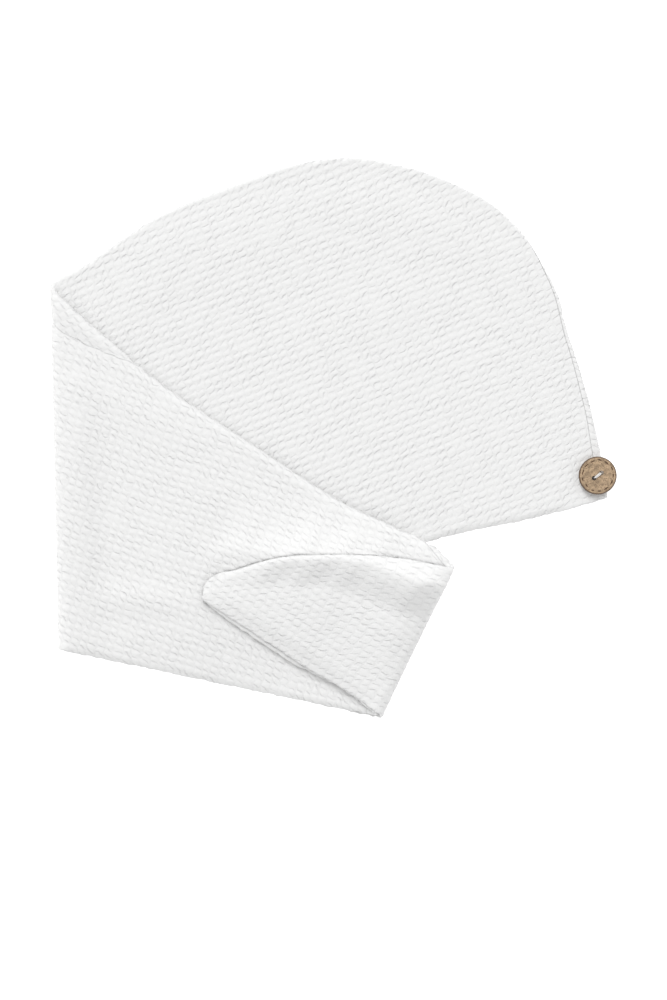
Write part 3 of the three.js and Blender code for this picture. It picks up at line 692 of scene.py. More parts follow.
def waffle_relief(cells, cloth):
    """Height of the outer face over the cloth's mean face, in millimetres."""
    c, r = cells[:, 0], cells[:, 1]
    to_row, to_column = np.abs(r - np.round(r)), np.abs(c - np.round(c))
    patch = 0.8 + 0.3 * soft_noise(c / 9.0, r / 9.0, cloth.seed + 4)
    cell = soft_noise(np.floor(c) * 3.7, np.floor(r) * 5.3, cloth.seed + 5)
    dash = 0.35 + 0.65 * smooth((to_column - 0.05) / 0.25)
    groove = np.maximum(dash * np.exp(-(to_row / 0.17) ** 2), 0.6 * np.exp(-(to_column / 0.17) ** 2))
    dome = (1 - (1 - 2 * to_row) ** 4) * (1 - (1 - 2 * to_column) ** 4)
    return (PILLOW + PILLOW_SPREAD * cell) * dome - PILLOW_SUNK - cloth.relief / MM * groove * patch


def inside_depth(points, line, inward, reach=14.0):
    """Distance inside the outline, exact near it and at least reach elsewhere."""
    rough = np.minimum.reduce([
        points[:, 1] - hem_at(points[:, 0]) + 3.0,
        (seam_at(points[:, 0]) - points[:, 1]) * 0.6,
        points[:, 0],
        HEM_LENGTH - points[:, 0]])
    depth = np.where(rough > reach, reach, -reach)
    close = (rough <= reach) & (rough > -reach)
    k = nearest_on(line, points[close])
    depth[close] = ((points[close] - line[k]) * inward[k]).sum(axis=1)
    return depth


def triangulate(points, edges):
    """Triangles inside the closed edges."""
    _, _, faces, origin, _, _ = delaunay_2d_cdt([Vector(p) for p in points], edges, [], 1, 1e-5)
    back = [group[0] if group else -1 for group in origin]
    return [tuple(back[v] for v in face) for face in faces]


def touching_fill(triangles, seeds, walls):
    """The triangles reached from the seed corners without crossing a wall."""
    by_edge = {}
    for index, tri in enumerate(triangles):
        for a, b in zip(tri, tri[1:] + tri[:1]):
            by_edge.setdefault((min(a, b), max(a, b)), []).append(index)
    reached = {index for index, tri in enumerate(triangles) if any(v in seeds for v in tri)}
    waiting = list(reached)
    while waiting:
        tri = triangles[waiting.pop()]
        for a, b in zip(tri, tri[1:] + tri[:1]):
            edge = (min(a, b), max(a, b))
            if edge in walls:
                continue
            for other in by_edge[edge]:
                if other not in reached:
                    reached.add(other)
                    waiting.append(other)
    return [triangles[index] for index in sorted(reached)]


def weave_grid(line, inward, depth, step, cloth):
    """Lattice points deep enough inside the outline, and the quads between them."""
    corners = flat_to_weave(line, cloth)
    low, high = np.floor(corners.min(axis=0)) - 2, np.ceil(corners.max(axis=0)) + 2
    across = np.arange(low[0], high[0], 1.0 / step)
    upward = np.arange(low[1], high[1], 1.0 / step)
    cells = np.stack(np.meshgrid(across, upward, indexing="ij"), axis=-1).reshape(-1, 2)
    flat = weave_to_flat(cells, cloth)
    kept = (inside_depth(flat, line, inward) > depth).reshape(len(across), len(upward))
    full = kept[:-1, :-1] & kept[1:, :-1] & kept[1:, 1:] & kept[:-1, 1:]
    number = np.arange(kept.size).reshape(kept.shape)
    quads = np.column_stack([
        number[:-1, :-1][full], number[1:, :-1][full], number[1:, 1:][full], number[:-1, 1:][full]])
    used = np.unique(quads)
    renumber = np.full(kept.size, -1)
    renumber[used] = np.arange(len(used))
    return cells[used], flat[used], renumber[quads]


def near_bend(points):
    """Which points lie where the inner face needs the finer lattice."""
    plan = to_plan(points)
    bent = np.abs(FIRST_FOLD.beyond(plan)) < FIRST_BEND
    bent |= np.abs(SECOND_FOLD.beyond(FIRST_FOLD.reflect(plan))) < SECOND_BEND
    close, _, depth = near_edge(points)
    bent[close[depth < EDGE_BEND]] = True
    return bent


def edge_walls(quads):
    """Edges that belong to one quad only."""
    pairs = np.concatenate([quads[:, [k, (k + 1) % 4]] for k in range(4)])
    pairs.sort(axis=1)
    unique, counts = np.unique(pairs, axis=0, return_counts=True)
    return unique[counts == 1]


def panel_mesh(name, is_front, cloth):
    """One panel as a closed shell: the waffle outside, a rounded rim, and a plain inner face."""
    layers = Layers(cloth)
    line, inward = panel_outline(is_front, OUTLINE_SPACING)
    count = len(line)
    bobble = soft_noise(np.arange(count) / 1.7, np.zeros(count), cloth.seed + 6 + is_front)
    at_hem = line[:, 1] < hem_at(line[:, 0]) + 1.0
    line = line + inward * np.where(at_hem, HEM_INSET + HEM_UNEVENNESS * bobble, 0.0)[:, None]
    round_in = np.where(at_hem, CLOTH / 2, SEWN_RIM)
    loop = line + inward * round_in[:, None]

    cells, flat, quads = weave_grid(line, inward, OUTER_MARGIN, OUTER_STEPS, cloth)
    walls = edge_walls(quads)
    wall_points = np.unique(walls)
    local = {int(v): count + k for k, v in enumerate(wall_points)}
    loop_edges = [(k, (k + 1) % count) for k in range(count)]
    wall_edges = [(local[int(a)], local[int(b)]) for a, b in walls]
    band = triangulate(np.vstack([loop, flat[wall_points]]), loop_edges + wall_edges)
    band = touching_fill(band, set(range(count)), {(min(a, b), max(a, b)) for a, b in wall_edges})

    # Outer face: the lattice, then the loop
    outer_flat = np.vstack([flat, loop])
    outer_cells = np.vstack([cells, flat_to_weave(loop, cloth)])
    height = waffle_relief(outer_cells, cloth)
    middle, outer, half = place_cloth(outer_flat, is_front, layers)
    positions = [middle + outer * (half + height)[:, None]]
    weave = [outer_cells]
    first_loop = len(flat)
    faces = [tuple(q) for q in quads.tolist()]
    back_to_outer = {k: first_loop + k for k in range(count)}
    back_to_outer.update({local[int(v)]: int(v) for v in wall_points})
    faces += [tuple(back_to_outer[v] for v in tri) for tri in band]

    # Rounded rim
    total = len(outer_flat)
    previous = first_loop + np.arange(count)
    loop_height = height[first_loop:]
    for angle in np.radians(RIM_ANGLES):
        ring = loop - inward * (round_in * math.sin(angle))[:, None]
        middle, outer, half = place_cloth(ring, is_front, layers)
        rise = half * math.cos(angle) + loop_height * max(math.cos(angle), 0.0)
        positions.append(middle + outer * rise[:, None])
        weave.append(flat_to_weave(ring, cloth))
        current = total + np.arange(count)
        faces += list(zip(previous, np.roll(previous, -1), np.roll(current, -1), current))
        previous = current
        total += count

    # Inner face
    _, fine, _ = weave_grid(line, inward, FINE_MARGIN, FINE_STEPS, cloth)
    _, coarse, _ = weave_grid(line, inward, COARSE_MARGIN, COARSE_STEPS, cloth)
    interior = np.vstack([fine[near_bend(fine)], coarse[~near_bend(coarse)]])
    inner_flat = np.vstack([loop, interior])
    inner = triangulate(inner_flat, loop_edges)
    middle, outer, half = place_cloth(inner_flat, is_front, layers)
    positions.append(middle - outer * half[:, None])
    weave.append(flat_to_weave(inner_flat, cloth))
    current = total + np.arange(count)
    faces += list(zip(previous, np.roll(previous, -1), np.roll(current, -1), current))
    faces += [tuple(total + v for v in reversed(tri)) for tri in inner]

    points = (np.vstack(positions) + ORIGIN) * MM
    return mesh_object(name, points, faces, np.vstack(weave))


def mesh_object(name, points, faces, weave=None):
    """A piece with its faces outward, and the weave's coordinates as a UV map."""
    mesh = bpy.data.meshes.new(name)
    mesh.from_pydata(points.tolist(), [], [tuple(int(v) for v in face) for face in faces])
    mesh.validate()
    if weave is not None:
        uv = mesh.uv_layers.new(name="weave")
        corners = np.empty(len(mesh.loops), dtype=np.int32)
        mesh.loops.foreach_get("vertex_index", corners)
        uv.data.foreach_set("uv", (weave[corners] / WEAVE_UNIT).astype(np.float32).ravel())
    bm = bmesh.new()
    bm.from_mesh(mesh)
    bmesh.ops.recalc_face_normals(bm, faces=bm.faces)
    if bm.calc_volume(signed=True) < 0:
        bmesh.ops.reverse_faces(bm, faces=bm.faces)
    bm.to_mesh(mesh)
    bm.free()
    mesh.shade_smooth()
    piece = bpy.data.objects.new(name, mesh)
    bpy.context.scene.collection.objects.link(piece)
    return piece


def tube(path, radius, sides, up, closed=False):
    """Points and faces of a tube along a path; the radius may change along it."""
    run = np.roll(path, -1, axis=0) - np.roll(path, 1, axis=0) if closed else np.gradient(path, axis=0)
    run /= np.linalg.norm(run, axis=1)[:, None]
    side = np.cross(run, up)
    side /= np.linalg.norm(side, axis=1)[:, None]
    over = np.cross(side, run)
    turn = np.linspace(0.0, 2 * math.pi, sides, endpoint=False)
    spoke = side[:, None] * np.cos(turn)[:, None] + over[:, None] * np.sin(turn)[:, None]
    points = (path[:, None] + spoke * np.broadcast_to(radius, len(path))[:, None, None]).reshape(-1, 3)
    ring = np.arange(len(path) * sides).reshape(len(path), sides)
    start, stop = (ring, np.roll(ring, -1, axis=0)) if closed else (ring[:-1], ring[1:])
    faces = np.stack([start, np.roll(start, -1, axis=1), np.roll(stop, -1, axis=1), stop], axis=-1)
    faces = [tuple(face) for face in faces.reshape(-1, 4)]
    return points, faces if closed else faces + [tuple(ring[0]), tuple(ring[-1])]


# The button's section, as shares of its radius and its thickness
BUTTON_PROFILE = [
    (0.0, 0.0), (0.80, 0.0), (0.93, 0.06), (0.985, 0.25), (1.0, 0.45), (1.0, 0.62), (0.985, 0.80),
    (0.955, 0.93), (0.92, 0.985), (0.88, 1.0), (0.84, 0.995), (0.78, 0.975), (0.68, 0.955), (0.5, 0.935),
    (0.25, 0.92), (0.0, 0.915),
]

# Ring of the dashes as a share of the radius, a dash's sizes in millimetres, and the thread's yarns
DASH_RING, DASH_LENGTH, DASH_WIDTH, DASH_DEPTH = 0.81, 3.1, 0.8, 0.7
STRANDS, STRAND_RADIUS, STRAND_SPACING, BUNDLE_RADIUS = 4, 0.19, 0.39, 0.27


def button_blank(button):
    """The turned button in millimetres, at the middle of its underside."""
    turn = np.linspace(0.0, 2 * math.pi, 120, endpoint=False)
    radius, height = (np.array(BUTTON_PROFILE) * [button.diameter / 2 / MM, button.thickness / MM]).T
    x, y = np.outer(radius[1:-1], np.cos(turn)), np.outer(radius[1:-1], np.sin(turn))
    z = np.broadcast_to(height[1:-1, None], x.shape)
    points = np.vstack([[0, 0, height[0]], np.stack([x, y, z], axis=-1).reshape(-1, 3), [0, 0, height[-1]]])
    ring = 1 + np.arange(x.size).reshape(x.shape)
    following = np.roll(ring, -1, axis=1)
    faces = np.stack([ring[:-1], following[:-1], following[1:], ring[1:]], axis=-1).reshape(-1, 4).tolist()
    faces += [(0, b, a) for a, b in zip(ring[0], following[0])]
    faces += [(len(points) - 1, a, b) for a, b in zip(ring[-1], following[-1])]
    return mesh_object("turned_button", points, faces)


def marks_tree(wood, burnt):
    """Burns a ring of uneven dashes into a button's face and cuts its two holes."""
    sizes = ["Ring Radius", "Dash Length", "Dash Width", "Dash Depth", "Face Height", "Hole Spacing",
             "Hole Diameter", "Turn"]
    tree, source, target = new_group(
        "button_marks",
        [("Geometry", "Geometry"), ("Dashes", "Int"), ("Seed", "Int")] + [(size, "Float") for size in sizes],
        ["Geometry"], "GeometryNodeTree", "NodeSocketGeometry")

    def made(kind, inputs=None, **settings):
        return add_node(tree, "GeometryNode" + kind, inputs, **settings).outputs[0]

    def uneven(low, high, seed):
        node = add_node(tree, "FunctionNodeRandomValue", {2: low, 3: high})
        tree.links.new(compute(tree, "ADD", source["Seed"], seed), node.inputs["Seed"])
        return node.outputs[1]

    def triple(x=0.0, y=0.0, z=0.0):
        return add_node(tree, "ShaderNodeCombineXYZ", {"X": x, "Y": y, "Z": z}).outputs[0]

    circle = made("MeshCircle", {"Vertices": source["Dashes"], "Radius": source["Ring Radius"]})
    shift = triple(uneven(-0.35, 0.35, 1), uneven(-0.35, 0.35, 2))
    ring = made("SetPosition", {"Geometry": circle, "Offset": shift})
    place = add_node(tree, "ShaderNodeSeparateXYZ", {"Vector": made("InputPosition")})
    angle = compute(tree, "ARCTAN2", place.outputs["Y"], place.outputs["X"])
    angle = compute(tree, "ADD", angle, uneven(math.pi / 2 - 0.16, math.pi / 2 + 0.16, 3))
    length = compute(tree, "MULTIPLY", source["Dash Length"], uneven(0.6, 1.15, 4))
    ball = made("MeshUVSphere", {"Segments": 16, "Rings": 10, "Radius": 0.5})
    dashes = made("InstanceOnPoints", {
        "Points": ring, "Instance": ball, "Rotation": triple(z=angle),
        "Scale": triple(length, source["Dash Width"], source["Dash Depth"])})
    dashes = made("Transform", {"Geometry": dashes, "Translation": triple(z=source["Face Height"])})
    half = compute(tree, "MULTIPLY", source["Hole Spacing"], -0.5)
    pair = made("MeshLine", {
        "Count": 2, "Start Location": triple(half), "Offset": triple(source["Hole Spacing"])})
    radius = compute(tree, "MULTIPLY", source["Hole Diameter"], 0.5)
    drill = made("MeshCylinder", {"Vertices": 28, "Radius": radius, "Depth": 50.0})
    holes = made("InstanceOnPoints", {"Points": pair, "Instance": drill})
    holes = made("Transform", {"Geometry": holes, "Rotation": triple(z=source["Turn"])})
    cut = add_node(tree, "GeometryNodeMeshBoolean", {"Mesh 1": source["Geometry"]}, operation="DIFFERENCE")
    for cutter in (dashes, holes):
        solid = made("RealizeInstances", {"Geometry": cutter})
        painted = made("SetMaterial", {"Geometry": solid, "Material": burnt})
        tree.links.new(painted, cut.inputs["Mesh 2"])
    result = made("RealizeInstances", {"Geometry": cut.outputs[0]})
    plain = add_node(
        tree, "FunctionNodeBooleanMath", {0: made("MaterialSelection", {"Material": burnt})}, operation="NOT")
    finished = made("SetMaterial", {"Geometry": result, "Selection": plain.outputs[0], "Material": wood})
    tree.links.new(finished, target["Geometry"])
    return tree


def convert(piece, tree, inputs):
    """Runs a Geometry Nodes tree on a piece and keeps the result as a plain mesh."""
    modifier = piece.modifiers.new(tree.name, "NODES")
    modifier.node_group = tree
    keys = {item.name: item.identifier for item in tree.interface.items_tree if item.in_out == "INPUT"}
    for name, value in inputs.items():
        modifier[keys[name]] = value
    mesh = bpy.data.meshes.new_from_object(piece.evaluated_get(bpy.context.evaluated_depsgraph_get()))
    piece.modifiers.remove(modifier)
    piece.data = mesh


def thread_strands(button, low, web):
    """Parallel yarns that go up one hole, over the web and down the other."""
    half = button.hole_spacing / MM / 2
    line = centripetal_curve([np.array(place) for place in (
        (-half + 0.45, low), (-half + 0.42, web - 1.2), (-half + 0.6, web + 0.1), (-half + 1.3, web + 0.62),
        (0.0, web + 0.78), (half - 1.3, web + 0.62), (half - 0.6, web + 0.1), (half - 0.42, web - 1.2),
        (half - 0.45, low))], 9)
    share = np.linspace(-1.0, 1.0, len(line))
    spread = smooth((0.62 - np.abs(share)) / 0.34)
    across = np.array([math.cos(button.turn), math.sin(button.turn), 0.0])
    sideways = np.array([-across[1], across[0], 0.0])
    points, faces = [], []
    run = np.gradient(line, axis=0)
    run /= np.linalg.norm(run, axis=1)[:, None]
    for k in range(STRANDS):
        bundle = 2 * math.pi * k / STRANDS + 1.2 * share
        off = mix(BUNDLE_RADIUS * np.cos(bundle), (k - (STRANDS - 1) / 2) * STRAND_SPACING, spread)
        lift = mix(BUNDLE_RADIUS * np.sin(bundle), 0.12 * np.sin(3.0 * share + 2.0 * k), spread)
        path = (line[:, 0] - run[:, 1] * lift)[:, None] * across + off[:, None] * sideways
        path[:, 2] = line[:, 1] + run[:, 0] * lift
        path += (share * 0.35 * spread)[:, None] * sideways
        strand, quads = tube(path, STRAND_RADIUS, 10, sideways)
        faces += [tuple(v + len(points) * len(strand) for v in face) for face in quads]
        points.append(strand)
    return np.vstack(points), faces


# Materials


def new_material(name):
    material = bpy.data.materials.new(name)
    material.use_nodes = True
    return material, material.node_tree, material.node_tree.nodes["Principled BSDF"]


def add_node(tree, kind, inputs=None, **settings):
    """A node whose inputs are linked to other nodes' outputs or set to values."""
    node = tree.nodes.new(kind)
    for key, value in settings.items():
        setattr(node, key, value)
    for key, value in (inputs or {}).items():
        if isinstance(value, bpy.types.NodeSocket):
            tree.links.new(value, node.inputs[key])
        else:
            node.inputs[key].default_value = value
    return node


def new_group(name, inputs, outputs, kind="ShaderNodeTree", output_type="NodeSocketFloat"):
    tree = bpy.data.node_groups.new(name, kind)
    for key, socket_type in inputs:
        tree.interface.new_socket(key, in_out="INPUT", socket_type="NodeSocket" + socket_type)
    for key in outputs:
        tree.interface.new_socket(key, in_out="OUTPUT", socket_type=output_type)
    return tree, tree.nodes.new("NodeGroupInput").outputs, tree.nodes.new("NodeGroupOutput").inputs


def compute(tree, operation, *values):
    """The output of a Math node."""
    return add_node(tree, "ShaderNodeMath", dict(enumerate(values)), operation=operation).outputs[0]


def combine(tree, operation, *values):
    """A Vector Math node."""
    return add_node(tree, "ShaderNodeVectorMath", dict(enumerate(values)), operation=operation)


def bump(tree, height, strength, distance, invert=False, **normal):
    """The normal of a surface with a height laid on it."""
    inputs = {"Height": height, "Strength": strength, "Distance": distance, **normal}
    return add_node(tree, "ShaderNodeBump", inputs, invert=invert).outputs["Normal"]


def ramp(tree, value, low, high, start=0.0, end=1.0):
    """A smooth step of a value between two limits."""
    return add_node(tree, "ShaderNodeMapRange", {
        "Value": value, "From Min": low, "From Max": high, "To Min": start, "To Max": end},
        interpolation_type="SMOOTHSTEP").outputs["Result"]


def noise(tree, vector, scale, detail=2.0):
    return add_node(tree, "ShaderNodeTexNoise", {"Vector": vector, "Scale": scale, "Detail": detail})


def fibre_group():
    """Fine uneven fibres for cotton, thread and elastic."""
    tree, source, target = new_group(
        "fine_fibres",
        [("Vector", "Vector"), ("Fibres", "Float"), ("Lint", "Float")],
        ["Height", "Shade"])
    threads = noise(tree, source["Vector"], source["Fibres"], 3.0).outputs["Fac"]
    lint = noise(tree, source["Vector"], source["Lint"]).outputs["Fac"]
    tree.links.new(compute(tree, "ADD", threads, lint), target["Height"])
    tree.links.new(lint, target["Shade"])
    return tree


def waffle_group():
    """Pillows of the waffle between dashes along the rows and fainter grooves along the columns."""
    tree, source, target = new_group(
        "waffle_weave",
        [("Cells", "Vector"), ("Groove Width", "Float"), ("Slant", "Float"), ("Unevenness", "Float")],
        ["Height", "Groove"])
    wander = noise(tree, source["Cells"], 0.8).outputs["Color"]
    wobble = add_node(tree, "ShaderNodeSeparateColor", {"Color": wander})
    place = add_node(tree, "ShaderNodeSeparateXYZ", {"Vector": source["Cells"]})
    moved = [
        compute(tree, "MULTIPLY_ADD", compute(tree, "SUBTRACT", wobble.outputs[k], 0.5), source["Unevenness"],
                place.outputs[k])
        for k in (0, 1)]
    across = compute(tree, "SUBTRACT", compute(tree, "FRACT", moved[0]), 0.5)
    slanted = compute(tree, "MULTIPLY_ADD", across, source["Slant"], moved[1])
    upward = compute(tree, "SUBTRACT", compute(tree, "FRACT", slanted), 0.5)
    to_column = compute(tree, "SUBTRACT", 0.5, compute(tree, "ABSOLUTE", across))
    to_row = compute(tree, "SUBTRACT", 0.5, compute(tree, "ABSOLUTE", upward))
    row = ramp(tree, to_row, source["Groove Width"], 0.0)
    dash = ramp(tree, to_column, 0.04, 0.26, 0.25, 1.0)
    column = compute(tree, "MULTIPLY", ramp(tree, to_column, source["Groove Width"], 0.0), 0.4)
    patch = ramp(tree, noise(tree, source["Cells"], 0.45).outputs["Fac"], 0.3, 0.66, 0.35, 1.0)
    groove = compute(tree, "MAXIMUM", compute(tree, "MULTIPLY", row, dash), column)
    groove = compute(tree, "MULTIPLY", groove, patch)
    tree.links.new(compute(tree, "SUBTRACT", 1.0, groove), target["Height"])
    tree.links.new(groove, target["Groove"])
    return tree


def blend_colour(tree, factor, *colours):
    """A colour between two, by a factor."""
    first, second = (c if isinstance(c, bpy.types.NodeSocket) else (*c, 1.0) for c in colours)
    node = add_node(tree, "ShaderNodeMix", {0: factor, 6: first, 7: second}, data_type="RGBA")
    return node.outputs[2]


def use_group(tree, name, inputs):
    return add_node(tree, "ShaderNodeGroup", inputs, node_tree=bpy.data.node_groups[name]).outputs


def finish_surface(tree, surface, colour, normal, **values):
    """Feeds a surface its colour and normal, and sets what is the same all over it."""
    tree.links.new(colour, surface.inputs["Base Color"])
    tree.links.new(normal, surface.inputs["Normal"])
    for key, value in values.items():
        surface.inputs[key.replace("_", " ")].default_value = value


def cotton_material(cloth):
    material, tree, surface = new_material("waffle_cotton")
    place = add_node(tree, "ShaderNodeTexCoord").outputs["Object"]
    weave = add_node(tree, "ShaderNodeUVMap", uv_map="weave").outputs["UV"]
    cells = combine(tree, "MULTIPLY", weave, (WEAVE_UNIT,) * 3).outputs[0]
    fibres = use_group(tree, "fine_fibres", {"Vector": place, "Fibres": 900.0, "Lint": 320.0})
    waffle = use_group(tree, "waffle_weave", {
        "Cells": cells, "Groove Width": 0.15, "Slant": 0.5, "Unevenness": 1.1})
    # Painted shade: the groove mask darkens the cotton's colour in the grooves
    colour = blend_colour(tree, waffle["Groove"], cloth.colour, cloth.groove_shade_colour)
    broad = bump(tree, waffle["Height"], 0.85, 0.0003)
    fine = bump(tree, fibres["Height"], 0.6, 0.0004, Normal=broad)
    finish_surface(
        tree, surface, colour, fine,
        Roughness=0.92, Sheen_Weight=0.1, Sheen_Roughness=0.6, Specular_IOR_Level=0.2)
    return material


def wood_material(name, button, light, dark, roughness):
    """Coconut wood: uneven patches, fine flecks and a darker rim."""
    material, tree, surface = new_material(name)
    place = add_node(tree, "ShaderNodeTexCoord").outputs["Object"]
    off = combine(tree, "SUBTRACT", place, tuple(BUTTON_CENTRE * MM)).outputs[0]
    flat = combine(tree, "MULTIPLY", off, (1.0, 1.0, 0.0)).outputs[0]
    from_centre = combine(tree, "LENGTH", flat).outputs["Value"]
    patches = ramp(tree, noise(tree, place, 420.0, 4.0).outputs["Fac"], 0.3, 0.7)
    flecks = ramp(tree, noise(tree, place, 1300.0, 3.0).outputs["Fac"], 0.50, 0.70, 0.0, 0.8)
    rim = ramp(tree, from_centre, button.diameter * 0.455, button.diameter * 0.484, 0.0, 0.95)
    pale = tuple(min(v * 1.42, 1.0) for v in light)
    deep = tuple(v * 0.78 for v in light)
    ground = blend_colour(tree, patches, deep, pale)
    flecked = blend_colour(tree, flecks, ground, dark)
    colour = blend_colour(tree, rim, flecked, dark)
    pitted = bump(tree, flecks, 0.3, 0.0001, invert=True)
    finish_surface(
        tree, surface, colour, pitted, Roughness=roughness, Specular_IOR_Level=0.35)
    return material


def yarn_material(name, colour, fibres):
    """Matt cotton or covered elastic."""
    material, tree, surface = new_material(name)
    place = add_node(tree, "ShaderNodeTexCoord").outputs["Object"]
    grain = use_group(tree, "fine_fibres", {"Vector": place, "Fibres": fibres, "Lint": fibres / 3})
    shaded = blend_colour(tree, grain["Shade"], colour, tuple(v * 0.86 for v in colour))
    finish_surface(tree, surface, shaded, bump(tree, grain["Height"], 0.5, 0.0002), Roughness=0.85)
    return material


def floor_material(stage):
    material, _, surface = new_material("floor")
    surface.inputs["Base Color"].default_value = (*stage.floor_colour, 1)
    surface.inputs["Roughness"].default_value = 0.9
    surface.inputs["Emission Color"].default_value = (1, 1, 1, 1)
    surface.inputs["Emission Strength"].default_value = stage.floor_glow
    return material


class TOWEL_OT_stage(bpy.types.Operator):
    """Adds the floor, the light and the camera that looks straight down."""

    bl_idname = "towel.stage"
    bl_label = "Stage"

    def execute(self, context):
        stage = context.scene.towel_stage
        scene = context.scene
        bpy.ops.mesh.primitive_plane_add(size=FLOOR_SIZE, location=(0, 0, -FLOOR_DROP))
        floor = context.object
        floor.name = "floor"
        floor.data.materials.append(floor_material(stage))
        world = bpy.data.worlds.new("studio")
        world.use_nodes = True
        background = world.node_tree.nodes["Background"]
        background.inputs["Color"].default_value = (1, 1, 1, 1)
        background.inputs["Strength"].default_value = stage.sky_strength
        scene.world = world
        key = bpy.data.lights.new("key_light", "SUN")
        key.energy = stage.sun_strength
        key.angle = stage.sun_spread
        lamp = bpy.data.objects.new("key_light", key)
        lamp.rotation_euler = Vector(KEY_DIRECTION).to_track_quat("Z", "Y").to_euler()
        scene.collection.objects.link(lamp)
        camera = bpy.data.cameras.new("camera")
        camera.sensor_fit = "VERTICAL"
        camera.sensor_height = 24.0
        camera.lens = camera.sensor_height * CAMERA_DISTANCE / stage.view_height
        camera.clip_end = 20.0
        holder = bpy.data.objects.new("camera", camera)
        holder.location = (0.0, CAMERA_Y, CAMERA_DISTANCE + TOWEL_MIDDLE)
        scene.collection.objects.link(holder)
        scene.camera = holder
        scene.view_settings.view_transform = "Standard"
        return {"FINISHED"}


class TOWEL_OT_panels(bpy.types.Operator):
    """Makes the two waffle panels, folded as they lie."""

    bl_idname = "towel.panels"
    bl_label = "Panels"

    def execute(self, context):
        cloth = context.scene.towel_cloth
        material = cotton_material(cloth)
        for name, is_front in (("waffle_front", True), ("waffle_back", False)):
            piece = panel_mesh(name, is_front, cloth)
            piece.data.materials.append(material)
            finish_piece(piece, "front_panel" if is_front else "back_panel")
        return {"FINISHED"}


def finish_piece(piece, node):
    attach(piece, "root")
    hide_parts(node)


class TOWEL_OT_button(bpy.types.Operator):
    """Makes the wooden button with its ring of dashes."""

    bl_idname = "towel.button"
    bl_label = "Button"

    def execute(self, context):
        button = context.scene.towel_button
        light, dark = tuple(button.colour), tuple(button.dark_colour)
        wood = wood_material("coconut_wood", button, light, dark, 0.55)
        burnt = wood_material("burnt_wood", button, tuple(v * 1.1 for v in dark), dark, 0.8)
        piece = button_blank(button)
        piece.data.materials.append(wood)
        convert(piece, marks_tree(wood, burnt), {
            "Dashes": button.dash_count, "Seed": button.seed,
            "Ring Radius": button.diameter / 2 / MM * DASH_RING, "Dash Length": DASH_LENGTH,
            "Dash Width": DASH_WIDTH, "Dash Depth": DASH_DEPTH,
            "Face Height": button.thickness / MM * 0.985, "Hole Spacing": button.hole_spacing / MM,
            "Hole Diameter": button.hole_diameter / MM, "Turn": button.turn})
        piece.data.transform(Matrix.Scale(MM, 4) @ Matrix.Translation(BUTTON_CENTRE))
        piece.data.shade_smooth()
        piece.data.set_sharp_from_angle(angle=math.radians(38))
        finish_piece(piece, "button")
        return {"FINISHED"}


class TOWEL_OT_thread(bpy.types.Operator):
    """Makes the sewing thread that holds the button."""

    bl_idname = "towel.thread"
    bl_label = "Thread"

    def execute(self, context):
        button = context.scene.towel_button
        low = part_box("button_thread")[0][2] / MM + 0.1 - BUTTON_CENTRE[2]
        points, faces = thread_strands(button, low, button.thickness / MM * BUTTON_PROFILE[-1][1])
        piece = mesh_object("sewing_thread", (points + BUTTON_CENTRE) * MM, faces)
        piece.data.materials.append(yarn_material("white_thread", tuple(button.thread_colour), 2400.0))
        finish_piece(piece, "button_thread")
        return {"FINISHED"}


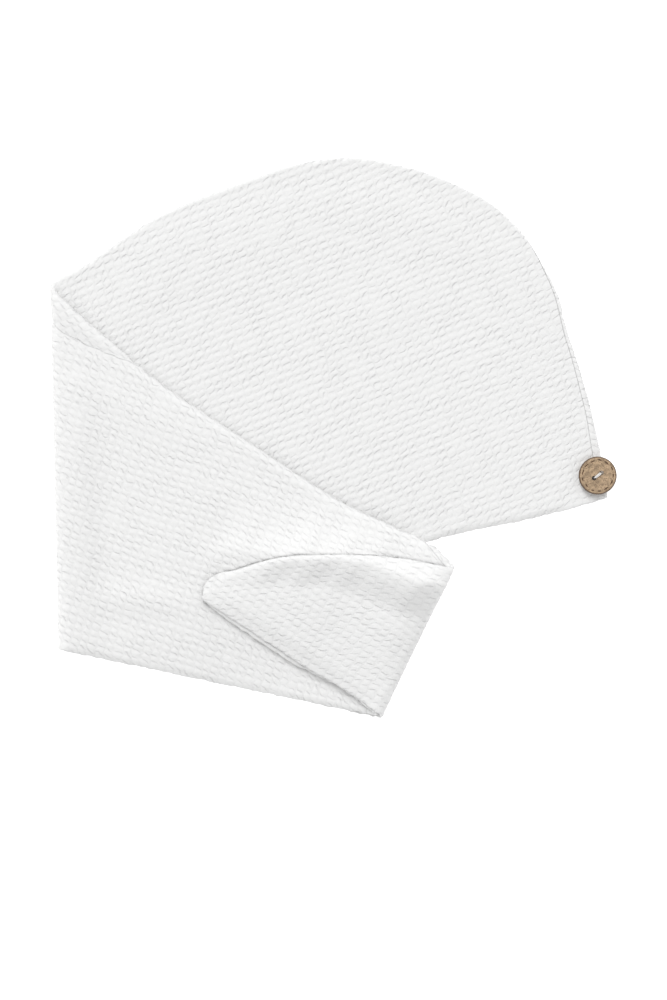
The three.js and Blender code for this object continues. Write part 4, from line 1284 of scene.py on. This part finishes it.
class TOWEL_OT_loop(bpy.types.Operator):
    """Makes the elastic loop inside the tip."""

    bl_idname = "towel.loop"
    bl_label = "Loop"

    def execute(self, context):
        turn = np.linspace(0.0, 2 * math.pi, 240, endpoint=False)
        radius = LOOP_THICKNESS / 2
        centre = TIP_CORNER + [-LOOP_FROM_TIP - LOOP_LENGTH / 2, LOOP_ABOVE_HEM]
        half_length, half_width = LOOP_LENGTH / 2 - radius, LOOP_WIDTH / 2 - radius
        oval = np.column_stack([half_length * np.cos(turn), half_width * np.sin(turn)])
        middle, outer = place_points(centre + oval, False, Layers(context.scene.towel_cloth))
        path = middle - outer * (CLOTH / 2 + LOOP_CLEARANCE + radius)
        ribs = radius * (0.95 + 0.05 * np.cos(60 * turn))
        points, faces = tube(path, ribs, 12, np.array([0.0, 0.0, 1.0]), closed=True)
        colour = context.scene.towel_button.loop_colour
        piece = mesh_object("elastic_loop", (points + ORIGIN) * MM, faces)
        piece.data.materials.append(yarn_material("white_elastic", tuple(colour), 1600.0))
        finish_piece(piece, "button_loop")
        return {"FINISHED"}


class TOWEL_PT_sidebar(bpy.types.Panel):
    bl_label = "Hair Turban Towel"
    bl_idname = "TOWEL_PT_sidebar"
    bl_space_type = "VIEW_3D"
    bl_region_type = "UI"
    bl_category = "Towel"

    def draw(self, context):
        for name, kind in SETTINGS.items():
            for key in kind.__annotations__:
                self.layout.prop(getattr(context.scene, name), key)
        for operator in OPERATORS:
            self.layout.operator(operator.bl_idname)


OPERATORS = (TOWEL_OT_stage, TOWEL_OT_panels, TOWEL_OT_button, TOWEL_OT_thread, TOWEL_OT_loop)
SETTINGS = {"towel_cloth": ClothSettings, "towel_button": ButtonSettings, "towel_stage": StageSettings}
CLASSES = (*SETTINGS.values(), *OPERATORS, TOWEL_PT_sidebar)


def register():
    for cls in CLASSES:
        bpy.utils.register_class(cls)
    for name, group in SETTINGS.items():
        setattr(bpy.types.Scene, name, bpy.props.PointerProperty(type=group))


def unregister():
    for name in SETTINGS:
        delattr(bpy.types.Scene, name)
    for cls in reversed(CLASSES):
        bpy.utils.unregister_class(cls)


# The plan is laid so that the button falls where the frame has it
BUTTON_PLAN = to_plan(np.array([BUTTON_FROM_FRONT, BUTTON_FROM_HEM]))
BUTTON_LOW, BUTTON_HIGH = (np.array(corner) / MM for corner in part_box("button"))
ORIGIN = np.append(((BUTTON_LOW + BUTTON_HIGH) / 2)[:2] - BUTTON_PLAN, 0.0)
BUTTON_CENTRE = np.append(((BUTTON_LOW + BUTTON_HIGH) / 2)[:2], BUTTON_LOW[2])


def main():
    register()
    fibre_group()
    waffle_group()
    for operator in (bpy.ops.towel.stage, bpy.ops.towel.panels, bpy.ops.towel.button, bpy.ops.towel.thread,
                     bpy.ops.towel.loop):
        operator()


if __name__ == "__main__":
    main()
